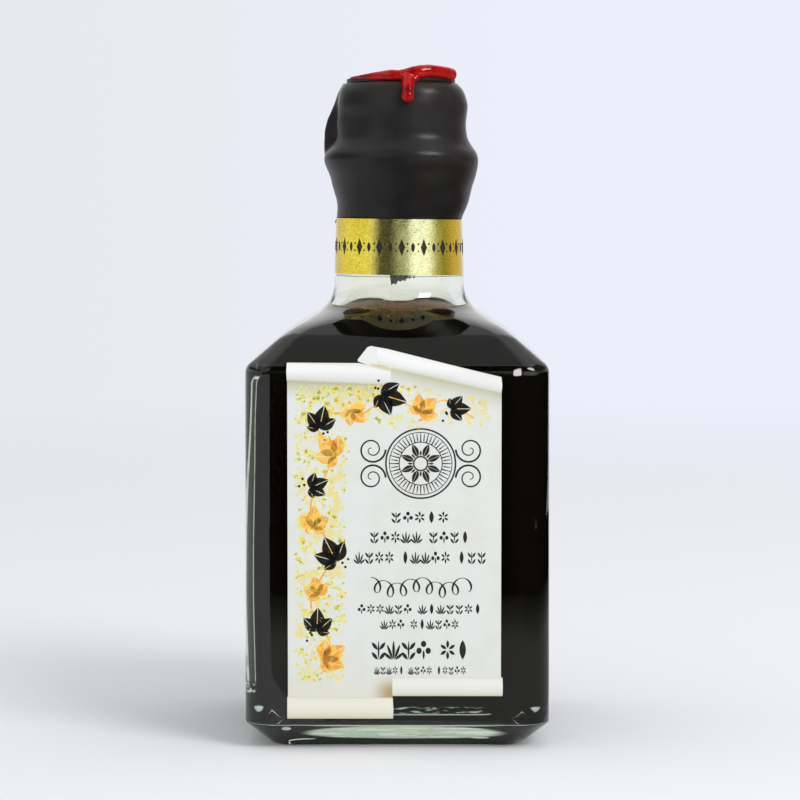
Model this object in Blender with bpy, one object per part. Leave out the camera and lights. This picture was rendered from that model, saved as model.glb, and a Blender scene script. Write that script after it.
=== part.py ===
"""Square glass bottle of dark vinegar, its neck dipped in black wax with a red wax pour on top.

Metres, +Z up. The origin is the centre of the base, and the labelled face looks along -Y.
"""

import math

import bmesh
import bpy
import numpy as np

# Gaps that keep touching pieces apart.
GAP = 0.0003
BAND_GAP = 0.00015

# Glass, outside. A half is half the width of the square, a corner its corner radius seen from above, and a
# bend the radius where the side view turns.
FOOT_FLAT_HALF = 0.0240
FOOT_HALF = 0.0266
FOOT_CORNER = 0.0053
FOOT_BEND = 0.0007
HEEL_HEIGHT = 0.0053
HEEL_BEND = 0.0008
BODY_HALF = 0.0319
BODY_TOP_HALF = 0.0317
BODY_CORNER = 0.0058
ROUNDING_START_HALF = 0.0225
SHOULDER_HEIGHT = 0.0797
SHOULDER_BEND = 0.0030
SLOPE_BREAK = (0.0225, 0.0871)
SLOPE_BEND = 0.0150
NECK_ROOT_HEIGHT = 0.0923
NECK_ROOT_BEND = 0.0050
NECK_RADIUS = 0.0140
NECK_RADIUS_AT_WAX = 0.01335

# Glass, inside.
FLOOR_HEIGHT = 0.0066
FLOOR_DOME = 0.0009
FLOOR_DOME_RADII = (0.0060, 0.0200)
FLOOR_EDGE_BEND = 0.0045
CAVITY_HALF = 0.0289
CAVITY_CORNER = 0.0080
CAVITY_SHOULDER_BEND = 0.0050
CAVITY_NECK_ROOT_BEND = 0.0040
CAVITY_NECK_RADIUS = 0.0108
WALL_AT_SHOULDER = 0.0030

# The part of the neck that the wax hides.
FINISH_RADIUS = 0.0124
FINISH_TOP = 0.1220

VINEGAR_LEVEL = 0.0919

# Gold band.
BAND_BOTTOM = 0.0984
BAND_TOP = 0.1103
BAND_THICKNESS = 0.0002

# Black wax, dipped by hand: height, radius and sideways lean where its outline turns, from the skirt
# up over the bulge to the crease under the rim.
WAX_BOTTOM = 0.1106
WAX_OUTLINE = (
    (WAX_BOTTOM, 0.0135, 0.0002),
    (0.1141, 0.0143, 0.0006),
    (0.1185, 0.0154, 0.0009),
    (0.1217, 0.01645, 0.0005),
    (0.1232, 0.0168, 0.0004),
    (0.1245, 0.01645, 0.0004),
    (0.1261, 0.01515, 0.00045),
    (0.1275, 0.0143, 0.0005),
    (0.1290, 0.01405, 0.00055),
    (0.1355, 0.0141, 0.0006),
    (0.1375, 0.01375, 0.0006),
    (0.1390, 0.0130, 0.0005),
    (0.1399, 0.0117, 0.0004),
)
RIM_RADIUS = 0.0118
RIM_TOP = 0.1410
RIM_LEAN = 0.00035
RIM_BEVEL = 0.0002

# The web of wax at the back left: height and radius along its ridge, and its direction and width.
FIN_RIDGE = ((0.1236, 0.0167), (0.1285, 0.0171), (0.1372, 0.0138))
FIN_ANGLE = math.radians(170)
FIN_SPREAD = math.radians(10)

# Soft dents in the wax: how deep, then waves round it, radians a metre of height, and start of each.
DENT_DEPTH = 0.00008
DENTS = ((3, 900, 0), (5, -600, 1))

# Red wax: x, y, z and radius of the beads that the pour runs through.
TONGUE = (
    (-0.0102, -0.0049, 0.1411, 0.00045),
    (-0.0082, -0.0076, 0.1410, 0.00065),
    (-0.0059, -0.0096, 0.1410, 0.00085),
    (-0.0035, -0.0107, 0.1411, 0.00110),
    (-0.0012, -0.0112, 0.1412, 0.00125),
    (0.0018, -0.0111, 0.1414, 0.00135),
)
ARCH = (
    (0.0018, -0.0111, 0.1414, 0.00135),
    (0.0042, -0.0104, 0.1421, 0.00135),
    (0.0065, -0.0092, 0.1426, 0.00120),
    (0.0086, -0.0072, 0.1424, 0.00135),
    (0.0102, -0.0050, 0.1421, 0.00148),
    (0.0108, -0.0033, 0.1421, 0.00145),
)
DRIP = (
    (0.0018, -0.0111, 0.1414, 0.00135),
    (0.0021, -0.0122, 0.1400, 0.00125),
    (0.0020, -0.0132, 0.1386, 0.00115),
    (0.0019, -0.0138, 0.1372, 0.00122),
    (0.0018, -0.0139, 0.1368, 0.00127),
)
PUDDLE = (
    (0.0018, -0.0095, 0.1412, 0.0010),
    (0.0045, -0.0050, 0.1411, 0.0011),
    (0.0085, -0.0035, 0.1414, 0.0012),
)
BEAD_STEP = 0.0005
POUR_GAP = 0.00024
POUR_VOXEL = 0.00045
POUR_KEEP = 0.32

# Label, seen from the front: x and height of each corner of the scroll.
LABEL_LEFT, LABEL_RIGHT = -0.0225, 0.0218
LABEL_OUTLINE = (
    (LABEL_LEFT, 0.0066),
    (-0.0007, 0.0066),
    (-0.0007, 0.0110),
    (LABEL_RIGHT, 0.0110),
    (LABEL_RIGHT, 0.0778),
    (-0.0017, 0.0834),
    (-0.0056, 0.0840),
    (-0.0080, 0.0812),
    (-0.0058, 0.0800),
    (-0.0073, 0.0805),
    (LABEL_LEFT, 0.0807),
)
LABEL_THICKNESS = 0.00025
LABEL_BENDS = (0.0780, 0.0786, 0.0791, 0.0797, 0.0804, 0.0811)

SHARP = math.radians(35)
WAX_SIDES = 60
WAX_STEP = 0.003
FLAT_STEPS = 3
CORNER_STEPS = 4
SLOPE_STEP = 0.0025


def octant_angles():
    """Directions from a face's middle to its corner, close together round the corner's bend."""
    bend = math.atan2(BODY_HALF - BODY_CORNER, BODY_HALF)
    flat = [bend * k / FLAT_STEPS for k in range(FLAT_STEPS)]
    return flat + [bend + (math.pi / 4 - bend) * k / CORNER_STEPS for k in range(CORNER_STEPS + 1)]


def ring_angles():
    """All the directions round the bottle, from its front left round to the start again."""
    first = octant_angles()
    quarter = first + [math.pi / 2 - a for a in reversed(first[1:-1])]
    return [a + math.pi / 2 * turn for turn in range(4) for a in quarter]


ANGLES = ring_angles()


def square_reach(angle, half, corner):
    """Distance from the centre to the edge of a square with round corners, in one direction."""
    turned = angle % (math.pi / 2)
    folded = min(turned, math.pi / 2 - turned)
    centre = half - corner
    if half * math.tan(folded) <= centre:
        return half / math.cos(folded)
    along = centre * (math.cos(folded) + math.sin(folded))
    across = centre * centre * (1 - math.sin(2 * folded))
    return along + math.sqrt(max(corner * corner - across, 0))


def square_ring(half, corner, height):
    """One level of the bottle, as points round a square with round corners."""
    corner = min(corner, half)
    reach = [square_reach(a, half, corner) for a in ANGLES]
    return [(r * math.cos(a), r * math.sin(a), height) for r, a in zip(reach, ANGLES)]


def filleted(corners):
    """An outline through corners given as (half width, height, fillet radius, steps of the arc)."""
    outline = [corners[0][:2]]
    for before, at, after in zip(corners, corners[1:], corners[2:]):
        point = np.array(at[:2])
        back = np.array(before[:2]) - point
        on = np.array(after[:2]) - point
        back, on = back / np.linalg.norm(back), on / np.linalg.norm(on)
        half_angle = math.acos(float(np.clip(back @ on, -1, 1))) / 2
        reach = at[2] / math.tan(half_angle)
        centre = point + (back + on) / np.linalg.norm(back + on) * at[2] / math.sin(half_angle)
        start, end = point + back * reach - centre, point + on * reach - centre
        sweep = math.pi - 2 * half_angle
        for k in range(at[3] + 1):
            t = k / at[3]
            arc = (math.sin((1 - t) * sweep) * start + math.sin(t * sweep) * end) / math.sin(sweep)
            outline.append(tuple(float(v) for v in centre + arc))
    return outline + [corners[-1][:2]]


def smooth_step(t):
    """0 to 1 with a level start and end."""
    t = min(max(t, 0.0), 1.0)
    return t * t * (3 - 2 * t)


def outer_corner(half, height):
    """Corner radius of the outside: crisp up the wall and over the shoulder, then round towards the neck."""
    if height <= HEEL_HEIGHT:
        return FOOT_CORNER + (BODY_CORNER - FOOT_CORNER) * height / HEEL_HEIGHT
    rounding = smooth_step((ROUNDING_START_HALF - half) / (ROUNDING_START_HALF - NECK_RADIUS))
    crisp = BODY_CORNER * half / BODY_HALF
    return crisp + (half - crisp) * rounding


def inner_corner(half, height):
    """Corner radius of the cavity, which is rounder than the outside, so that the corners are thick."""
    crisp = CAVITY_CORNER * half / CAVITY_HALF
    if height < SHOULDER_HEIGHT / 2:
        return crisp
    rounding = smooth_step((ROUNDING_START_HALF - half) / (ROUNDING_START_HALF - CAVITY_NECK_RADIUS))
    return crisp + (half - crisp) * rounding


def with_slope_steps(outline):
    """The outline with more levels up the slope to the neck, where the corners round off fast."""
    finer = [outline[0]]
    for low, high in zip(outline, outline[1:]):
        on_slope = SHOULDER_HEIGHT < low[1] and high[1] < NECK_ROOT_HEIGHT
        count = math.ceil(math.dist(low, high) / SLOPE_STEP) if on_slope else 1
        finer += [tuple(np.array(low) + (np.array(high) - low) * (k + 1) / count) for k in range(count)]
    return finer


def outer_outline():
    """Half width and height up the outside, from the foot to the wax."""
    return with_slope_steps(
        filleted(
            [
                (FOOT_FLAT_HALF, 0.0, 0, 0),
                (FOOT_HALF, 0.0, FOOT_BEND, 2),
                (BODY_HALF, HEEL_HEIGHT, HEEL_BEND, 2),
                (BODY_TOP_HALF, SHOULDER_HEIGHT, SHOULDER_BEND, 4),
                (*SLOPE_BREAK, SLOPE_BEND, 2),
                (NECK_RADIUS, NECK_ROOT_HEIGHT, NECK_ROOT_BEND, 4),
                (NECK_RADIUS, BAND_BOTTOM - GAP, 0, 0),
            ]
        )
    )


def inner_outline():
    """Half width and height up the cavity, from its floor to the top of the neck."""
    middle, edge = FLOOR_DOME_RADII
    break_half, break_height = SLOPE_BREAK
    break_half -= 0.4 * WALL_AT_SHOULDER
    break_height -= 0.9 * WALL_AT_SHOULDER
    return with_slope_steps(
        filleted(
            [
                (middle, FLOOR_HEIGHT + FLOOR_DOME, 0, 0),
                (edge, FLOOR_HEIGHT + FLOOR_DOME / 2, 0.05, 1),
                (CAVITY_HALF, FLOOR_HEIGHT, FLOOR_EDGE_BEND, 4),
                (CAVITY_HALF, SHOULDER_HEIGHT - 0.5 * WALL_AT_SHOULDER, CAVITY_SHOULDER_BEND, 4),
                (break_half, break_height, SLOPE_BEND, 1),
                (CAVITY_NECK_RADIUS, NECK_ROOT_HEIGHT - 0.6 * WALL_AT_SHOULDER, CAVITY_NECK_ROOT_BEND, 4),
                (CAVITY_NECK_RADIUS, FINISH_TOP, 0, 0),
            ]
        )
    )


def inner_rings(clear=0.0):
    """Rings up the wall of the cavity, or that far inside it."""
    outline = inner_outline()
    rings = []
    for before, at, after in zip(outline[:1] + outline, outline, outline[1:] + outline[-1:]):
        along = np.array(after) - np.array(before)
        inward = clear * np.array((-along[1], along[0])) / np.linalg.norm(along)
        half, height = np.array(at) + inward
        rings.append(square_ring(half, inner_corner(*at) + inward[0], height))
    return rings


def loft(name, rings, closed=False):
    """A body whose skin joins these rings in turn, with flat ends, or with the last joined to the first."""
    shape = bmesh.new()
    loops = [[shape.verts.new(p) for p in ring] for ring in rings]
    pairs = list(zip(loops, loops[1:]))
    if closed:
        pairs.append((loops[-1], loops[0]))
    else:
        shape.faces.new(list(reversed(loops[0])))
        shape.faces.new(loops[-1])
    for low, high in pairs:
        for k in range(len(low)):
            after = (k + 1) % len(low)
            shape.faces.new((low[k], low[after], high[after], high[k]))
    return finished(name, shape)


def finished(name, shape):
    """The bmesh as a smooth-shaded object in the scene, its faces turned outwards."""
    bmesh.ops.recalc_face_normals(shape, faces=shape.faces)
    mesh = bpy.data.meshes.new(name)
    shape.to_mesh(mesh)
    shape.free()
    mesh.shade_smooth()
    mesh.set_sharp_from_angle(angle=SHARP)
    made = bpy.data.objects.new(name, mesh)
    bpy.context.scene.collection.objects.link(made)
    return made


def as_cutter(made):
    """Keeps a helper out of the model."""
    made.hide_render = True
    made.display_type = "WIRE"
    return made


def finish(made, colour, roughness, metallic=0.0, transmission=0.0, coat=0.0):
    """Gives an object its own material."""
    material = bpy.data.materials.new(made.name)
    material.use_nodes = True
    shader = material.node_tree.nodes["Principled BSDF"]
    shader.inputs["Base Color"].default_value = (*colour, 1.0)
    shader.inputs["Roughness"].default_value = roughness
    shader.inputs["Metallic"].default_value = metallic
    shader.inputs["Transmission Weight"].default_value = transmission
    shader.inputs["Coat Weight"].default_value = coat
    made.data.materials.append(material)


def band_seat(height):
    """Glass radius under the band, which narrows a little towards the wax."""
    t = (height - BAND_BOTTOM) / (BAND_TOP - BAND_BOTTOM)
    return NECK_RADIUS - GAP + (NECK_RADIUS_AT_WAX - NECK_RADIUS + GAP) * t


def glass_bottle():
    """The bottle: one shell, open at the top of its neck."""
    outside = [square_ring(half, outer_corner(half, z), z) for half, z in outer_outline()]
    neck = ((band_seat(BAND_BOTTOM), BAND_BOTTOM - GAP), (NECK_RADIUS_AT_WAX, BAND_TOP))
    finish_rings = ((FINISH_RADIUS, BAND_TOP), (FINISH_RADIUS, FINISH_TOP))
    outside += [square_ring(r, r, z) for r, z in neck + finish_rings]
    made = loft("glass_bottle", outside + inner_rings()[::-1])
    finish(made, (0.86, 0.92, 0.86), 0.03, transmission=1.0)


def vinegar():
    """What the bottle holds, up to the level in the root of the neck."""
    rings = np.array(inner_rings(GAP))
    heights = rings[:, 0, 2]
    under = int(np.flatnonzero(heights < VINEGAR_LEVEL)[-1])
    share = (VINEGAR_LEVEL - heights[under]) / (heights[under + 1] - heights[under])
    surface = rings[under] + (rings[under + 1] - rings[under]) * share
    made = loft("vinegar", [*rings[: under + 1], surface])
    finish(made, (0.020, 0.008, 0.004), 0.08, coat=0.5)


def neck_band():
    """The gold band, a thin ring round the neck."""
    inner = [(band_seat(z) + BAND_GAP, z) for z in (BAND_BOTTOM, BAND_TOP)]
    outer = [(radius + BAND_THICKNESS, z) for radius, z in reversed(inner)]
    rings = [square_ring(radius, radius, z) for radius, z in inner + outer]
    made = loft("neck_band", rings, closed=True)
    finish(made, (0.83, 0.66, 0.16), 0.3, metallic=1.0)


def wax_radius(angle, height):
    """How far the wax stands from its own axis: its outline, soft dents and the web at the back left."""
    heights, radii, _ = zip(*WAX_OUTLINE)
    radius = float(np.interp(height, heights, radii))
    dents = sum(math.sin(waves * angle + twist * height + start) for waves, twist, start in DENTS)
    turn = (angle - FIN_ANGLE + math.pi) % (2 * math.pi) - math.pi
    ridge = float(np.interp(height, *zip(*FIN_RIDGE), left=0.0, right=0.0))
    fin = max(ridge - radius, 0.0) * math.exp(-((turn / FIN_SPREAD) ** 2))
    return radius + DENT_DEPTH * dents + fin


def wax_ring(height, grow=0.0):
    """One level of the dipped wax."""
    heights, _, leans = zip(*WAX_OUTLINE)
    lean = float(np.interp(height, heights, leans))
    angles = [2 * math.pi * k / WAX_SIDES for k in range(WAX_SIDES)]
    reach = [wax_radius(a, height) + grow for a in angles]
    return [(lean + r * math.cos(a), r * math.sin(a), height) for r, a in zip(reach, angles)]


def circle(radius, height, lean=0.0):
    """One level of a round piece with as many sides as the wax."""
    angles = [2 * math.pi * k / WAX_SIDES for k in range(WAX_SIDES)]
    return [(lean + radius * math.cos(a), radius * math.sin(a), height) for a in angles]


def wax_levels():
    """The heights of the wax's rings: its outline's own, with more between the far ones."""
    heights = [z for z, _, _ in WAX_OUTLINE]
    between = [(a + b) / 2 for a, b in zip(heights, heights[1:]) if b - a > WAX_STEP]
    return sorted(heights + between)


def wax_skin(grow=0.0):
    """Rings of the wax from its lower edge to its flat top, with the thin rim above the crease."""
    rings = [wax_ring(z, grow) for z in wax_levels()]
    crease = WAX_OUTLINE[-1][0]
    rings.append(circle(RIM_RADIUS + grow, crease + RIM_BEVEL, RIM_LEAN))
    rings.append(circle(RIM_RADIUS + grow, RIM_TOP - RIM_BEVEL, RIM_LEAN))
    rings.append(circle(RIM_RADIUS + grow - RIM_BEVEL, RIM_TOP + grow, RIM_LEAN))
    return rings


def wax_cap():
    """The black wax, with the socket that the top of the neck stands in."""
    socket = FINISH_RADIUS + GAP
    inside = [circle(socket, FINISH_TOP + GAP), circle(socket, WAX_BOTTOM)]
    made = loft("wax_cap", inside + wax_skin())
    finish(made, (0.020, 0.019, 0.018), 0.42)


def beads(run):
    """Points and radii close together along one run of the pour."""
    points = np.array(run)
    lengths = np.linalg.norm(np.diff(points[:, :3], axis=0), axis=1)
    along = np.concatenate([[0], np.cumsum(lengths)])
    wanted = np.arange(0, along[-1] + BEAD_STEP / 2, BEAD_STEP)
    return np.stack([np.interp(wanted, along, points[:, k]) for k in range(4)], axis=1)


def red_wax():
    """The red pour: beads run together over the rim and down the front, then cut clear of the black wax."""
    shape = bmesh.new()
    for run in (TONGUE, ARCH, DRIP, PUDDLE):
        for x, y, z, radius in beads(run):
            ball = bmesh.ops.create_icosphere(shape, subdivisions=2, radius=radius)
            bmesh.ops.translate(shape, verts=ball["verts"], vec=(x, y, z))
    made = finished("red_wax", shape)
    merge = made.modifiers.new("run together", "REMESH")
    merge.mode = "VOXEL"
    merge.voxel_size = POUR_VOXEL
    soften = made.modifiers.new("soften", "SMOOTH")
    soften.iterations = 3
    fewer = made.modifiers.new("fewer faces", "DECIMATE")
    fewer.ratio = POUR_KEEP
    clear = made.modifiers.new("clear of the black wax", "BOOLEAN")
    clear.operation = "DIFFERENCE"
    clear.object = as_cutter(loft("wax_cutter", wax_skin(grow=POUR_GAP)))
    finish(made, (0.48, 0.008, 0.008), 0.12, coat=1.0)


def glass_front(height, outline):
    """Distance of the front of the glass from the bottle's middle plane."""
    halves, heights = zip(*outline)
    return float(np.interp(height, heights, halves))


def label():
    """The paper scroll on the front, which bends with the glass where the shoulder starts."""
    shape = bmesh.new()
    shape.faces.new([shape.verts.new((x, 0.0, z)) for x, z in LABEL_OUTLINE])
    for bend in LABEL_BENDS:
        everything = shape.verts[:] + shape.edges[:] + shape.faces[:]
        bmesh.ops.bisect_plane(shape, geom=everything, plane_co=(0, 0, bend), plane_no=(0, 0, 1))
    bmesh.ops.triangulate(shape, faces=shape.faces)
    outer = bmesh.ops.extrude_face_region(shape, geom=shape.faces[:])
    outer_verts = {v for v in outer["geom"] if isinstance(v, bmesh.types.BMVert)}
    outline = outer_outline()
    for vert in shape.verts:
        stand_off = GAP + (LABEL_THICKNESS if vert in outer_verts else 0.0)
        vert.co.y = -glass_front(vert.co.z, outline) - stand_off
    made = finished("label", shape)
    finish(made, (0.90, 0.88, 0.80), 0.7)


def main():
    """Clears the scene and builds the bottle."""
    for old in list(bpy.data.objects):
        bpy.data.objects.remove(old, do_unlink=True)
    glass_bottle()
    vinegar()
    neck_band()
    wax_cap()
    red_wax()
    label()


main()
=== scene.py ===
"""Looks of a square glass bottle of dark vinegar, its neck dipped in black wax with a red wax pour on top.

Sizes in the classes are millimetres, +Z up, with the labelled face looking along -Y and the origin at
the centre of the base. Meshes are made in metres.
"""

import logging
import math
from collections.abc import Iterable, Sequence
from dataclasses import dataclass
from enum import Enum

import bmesh
import bpy
import numpy as np
from mathutils import Matrix, Vector


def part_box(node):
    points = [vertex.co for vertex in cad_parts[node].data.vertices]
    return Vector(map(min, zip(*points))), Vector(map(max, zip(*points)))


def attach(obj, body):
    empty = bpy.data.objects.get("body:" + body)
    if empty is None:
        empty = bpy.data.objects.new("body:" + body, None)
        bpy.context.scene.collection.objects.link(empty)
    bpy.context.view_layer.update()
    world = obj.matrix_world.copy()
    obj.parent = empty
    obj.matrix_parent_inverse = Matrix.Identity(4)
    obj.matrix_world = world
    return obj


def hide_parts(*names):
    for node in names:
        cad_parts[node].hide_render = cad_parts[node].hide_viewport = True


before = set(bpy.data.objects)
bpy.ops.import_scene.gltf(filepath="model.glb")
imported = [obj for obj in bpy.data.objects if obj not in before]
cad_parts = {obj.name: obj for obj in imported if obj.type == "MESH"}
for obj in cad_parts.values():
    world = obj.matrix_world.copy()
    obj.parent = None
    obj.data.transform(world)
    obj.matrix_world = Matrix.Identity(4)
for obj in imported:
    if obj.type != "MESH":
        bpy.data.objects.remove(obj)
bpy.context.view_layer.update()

MM = 0.001
BODY = "root"
SHARP = math.radians(35)
QUARTER = math.pi / 2
TURN = 2 * math.pi

log = logging.getLogger("bottle")

Colour = tuple[float, float, float, float]
Faces = list[tuple[int, ...]]
Pair = tuple[float, float]
Triple = tuple[float, float, float]
Span = tuple[float, float, float, float]
Pairs = tuple[Pair, ...]
Rows = tuple[tuple[float, ...], ...]
Piece = bpy.types.Object
Material = bpy.types.Material


def linear(code: str) -> Colour:
    """Turns a colour written as six hex digits into linear light.

    Args:
        code: red, green and blue in sRGB, such as "eef0ec".

    Returns:
        Linear red, green, blue and a full alpha.
    """
    shares = [int(code[k : k + 2], 16) / 255 for k in (0, 2, 4)]
    light = [s / 12.92 if s <= 0.04045 else ((s + 0.055) / 1.055) ** 2.4 for s in shares]
    return (light[0], light[1], light[2], 1.0)


def smooth_step(share: float) -> float:
    """0 to 1 with a level start and end."""
    share = min(max(share, 0.0), 1.0)
    return share * share * (3 - 2 * share)


class Wire:
    """An output socket, so that sums on values read as plain arithmetic."""

    def __init__(self, graph: "Graph", socket: bpy.types.NodeSocket) -> None:
        """Keeps the socket and the graph that new nodes go to."""
        self.graph = graph
        self.socket = socket

    def __add__(self, other: "Wire | float") -> "Wire":
        """Sum."""
        return self.graph.sum_of("ADD", self, other)

    def __sub__(self, other: "Wire | float") -> "Wire":
        """Difference."""
        return self.graph.sum_of("SUBTRACT", self, other)

    def __rsub__(self, other: float) -> "Wire":
        """Difference from a number."""
        return self.graph.sum_of("SUBTRACT", other, self)

    def __mul__(self, other: "Wire | float") -> "Wire":
        """Product."""
        return self.graph.sum_of("MULTIPLY", self, other)

    def __truediv__(self, other: "Wire | float") -> "Wire":
        """Quotient."""
        return self.graph.sum_of("DIVIDE", self, other)

    def __abs__(self) -> "Wire":
        """Size without the sign."""
        return self.graph.sum_of("ABSOLUTE", self)

    __radd__ = __add__
    __rmul__ = __mul__


Value = Wire | float | int | str | bool | Sequence[float] | bpy.types.ID
Shade = Wire | Colour | str


class Graph:
    """Adds nodes to one node tree, of a material or of Geometry Nodes."""

    def __init__(self, tree: bpy.types.NodeTree) -> None:
        """Keeps the tree."""
        self.tree = tree

    def node(
        self,
        kind: str,
        settings: dict[str, object] | None = None,
        values: dict[str | int, Value] | None = None,
        output: str | int = 0,
    ) -> Wire:
        """Adds one node.

        Args:
            kind: the node's type.
            settings: its own settings, set first. "stops" holds a ramp's places and colours.
            values: numbers or wires for its inputs, by name or place.
            output: the output to give back, by name or place.

        Returns:
            That output.
        """
        made = self.tree.nodes.new(kind)
        for name, setting in (settings or {}).items():
            if name == "stops":
                self._set_stops(made.color_ramp.elements, setting)
            else:
                setattr(made, name, setting)
        for place, value in (values or {}).items():
            if isinstance(value, Wire):
                self.tree.links.new(value.socket, made.inputs[place])
            else:
                made.inputs[place].default_value = value
        return Wire(self, made.outputs[output])

    @staticmethod
    def _set_stops(elements: bpy.types.bpy_prop_collection, stops: list[tuple[float, Colour]]) -> None:
        """Gives a ramp its stops."""
        while len(elements) < len(stops):
            elements.new(1.0)
        for element, (place, colour) in zip(elements, stops):
            element.position = place
            element.color = colour

    def sum_of(self, operation: str, *values: "Wire | float") -> Wire:
        """One Math node."""
        return self.node("ShaderNodeMath", {"operation": operation}, dict(enumerate(values)))

    def rise(self, value: Wire, low: float, high: float, soft: bool = True) -> Wire:
        """0 below low, 1 above high, and a ramp between. The ramp falls if low is above high."""
        kind = "SMOOTHSTEP" if soft else "LINEAR"
        places = {"Value": value, "From Min": low, "From Max": high, "To Min": 0.0, "To Max": 1.0}
        if low > high:
            places |= {"From Min": high, "From Max": low, "To Min": 1.0, "To Max": 0.0}
        return self.node("ShaderNodeMapRange", {"interpolation_type": kind}, places)

    def span(self, value: Wire, start: float, full: float, fall: float, end: float) -> Wire:
        """0 up to start, 1 from full to fall and 0 from end on, with ramps between."""
        return self.rise(value, start, full) * self.rise(value, end, fall)

    def most(self, first: Wire, second: Wire) -> Wire:
        """The larger of two values."""
        return self.sum_of("MAXIMUM", first, second)

    def mix(self, share: Wire | float, first: Shade, second: Shade, way: str = "MIX") -> Wire:
        """A colour that goes from the first to the second as share goes from 0 to 1."""
        first, second = (linear(shade) if isinstance(shade, str) else shade for shade in (first, second))
        settings = {"data_type": "RGBA", "blend_type": way}
        return self.node("ShaderNodeMix", settings, {0: share, 6: first, 7: second}, output=2)

    def tinted(self, colour: Shade, tint: Shade, share: Wire | float = 1.0) -> Wire:
        """A colour multiplied by a tint."""
        return self.mix(share, colour, tint, "MULTIPLY")

    def place(self) -> Wire:
        """The point on the piece, in millimetres."""
        point = self.node("ShaderNodeTexCoord", output="Object")
        settings = {"operation": "SCALE"}
        return self.node("ShaderNodeVectorMath", settings, {0: point, "Scale": 1 / MM})

    def split(self, vector: Wire) -> tuple[Wire, Wire, Wire]:
        """The three parts of a vector."""
        across = self.node("ShaderNodeSeparateXYZ", values={0: vector})
        parts = across.socket.node.outputs
        return across, Wire(self, parts[1]), Wire(self, parts[2])

    def noise(
        self, vector: Wire, scale: float, detail: float = 2.0, stretch: Sequence[float] = (1.0, 1.0, 1.0)
    ) -> Wire:
        """Noise from 0 to 1, whose features are about 1 / scale millimetres across."""
        spread = self.node("ShaderNodeVectorMath", {"operation": "MULTIPLY"}, {0: vector, 1: stretch})
        return self.node("ShaderNodeTexNoise", values={"Vector": spread, "Scale": scale, "Detail": detail})

    def bump(self, height: Wire, distance: float, strength: float = 1.0) -> Wire:
        """A normal bent by a height of 0 to 1, worth that many millimetres."""
        values = {"Height": height, "Distance": distance * MM, "Strength": strength}
        return self.node("ShaderNodeBump", values=values)


def new_material(name: str) -> tuple[Material, Graph]:
    """An empty material and the graph of its nodes."""
    material = bpy.data.materials.new(name)
    material.use_nodes = True
    material.node_tree.nodes.clear()
    return material, Graph(material.node_tree)


def dressed(graph: Graph, surface: Wire, volume: Wire | None = None) -> None:
    """Ends a material's graph in its surface and, for glass, its volume."""
    values = {"Surface": surface}
    if volume is not None:
        values["Volume"] = volume
    output = graph.tree.nodes.new("ShaderNodeOutputMaterial")
    for name, wire in values.items():
        graph.tree.links.new(wire.socket, output.inputs[name])


def coated(graph: Graph, values: dict[str | int, Value]) -> None:
    """Ends a material's graph in a Principled surface with those values."""
    dressed(graph, graph.node("ShaderNodeBsdfPrincipled", values=values))


class Finish:
    """What every finish shares: it names a material and paints it."""

    name: str

    def material(self) -> Material:
        """Makes the material."""
        made, graph = new_material(self.name)
        self.paint(graph, graph.place())
        return made

    def paint(self, graph: Graph, point: Wire) -> None:
        """Fills the material's graph, from the point on the piece in millimetres."""
        raise NotImplementedError


@dataclass(frozen=True)
class ClearGlass(Finish):
    """Clear bottle glass, faintly green where it is thick."""

    name: str = "clear_glass"
    tint: str = "fffff5"
    index: float = 1.52
    green: str = "b7e6bd"
    density: float = 9.0

    def paint(self, graph: Graph, point: Wire) -> None:
        """A clear surface over a faintly green volume."""
        values = {
            "Base Color": linear(self.tint),
            "Roughness": 0.0,
            "IOR": self.index,
            "Transmission Weight": 1.0,
        }
        surface = graph.node("ShaderNodeBsdfPrincipled", values=values)
        absorbed = {"Color": linear(self.green), "Density": self.density}
        dressed(graph, surface, graph.node("ShaderNodeVolumeAbsorption", values=absorbed))


@dataclass(frozen=True)
class Patch:
    """An oval patch of light in two directions: its middle, its half sizes and its soft edge."""

    middle: Pair
    half: Pair
    core: float = 0.8
    edge: float = 1.06

    def share(self, graph: Graph, first: Wire, second: Wire) -> Wire:
        """How much of the patch's light a point gets."""
        u = (first - self.middle[0]) / self.half[0]
        v = (second - self.middle[1]) / self.half[1]
        return graph.rise(u * u + v * v, self.edge, self.core)


@dataclass(frozen=True)
class Line:
    """An upright line of light: its depth, how far it drifts between two heights, and its soft edge."""

    depth: float
    drift: float
    drift_heights: Pair
    edge: float
    core: float

    def aside(self, graph: Graph, depth: Wire, height: Wire) -> Wire:
        """How far behind the line a point lies."""
        return depth - self.depth + graph.rise(height, *self.drift_heights) * self.drift

    def share(self, graph: Graph, aside: Wire) -> Wire:
        """How much of the line's light a point gets."""
        return graph.rise(abs(aside), self.edge, self.core)


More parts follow.
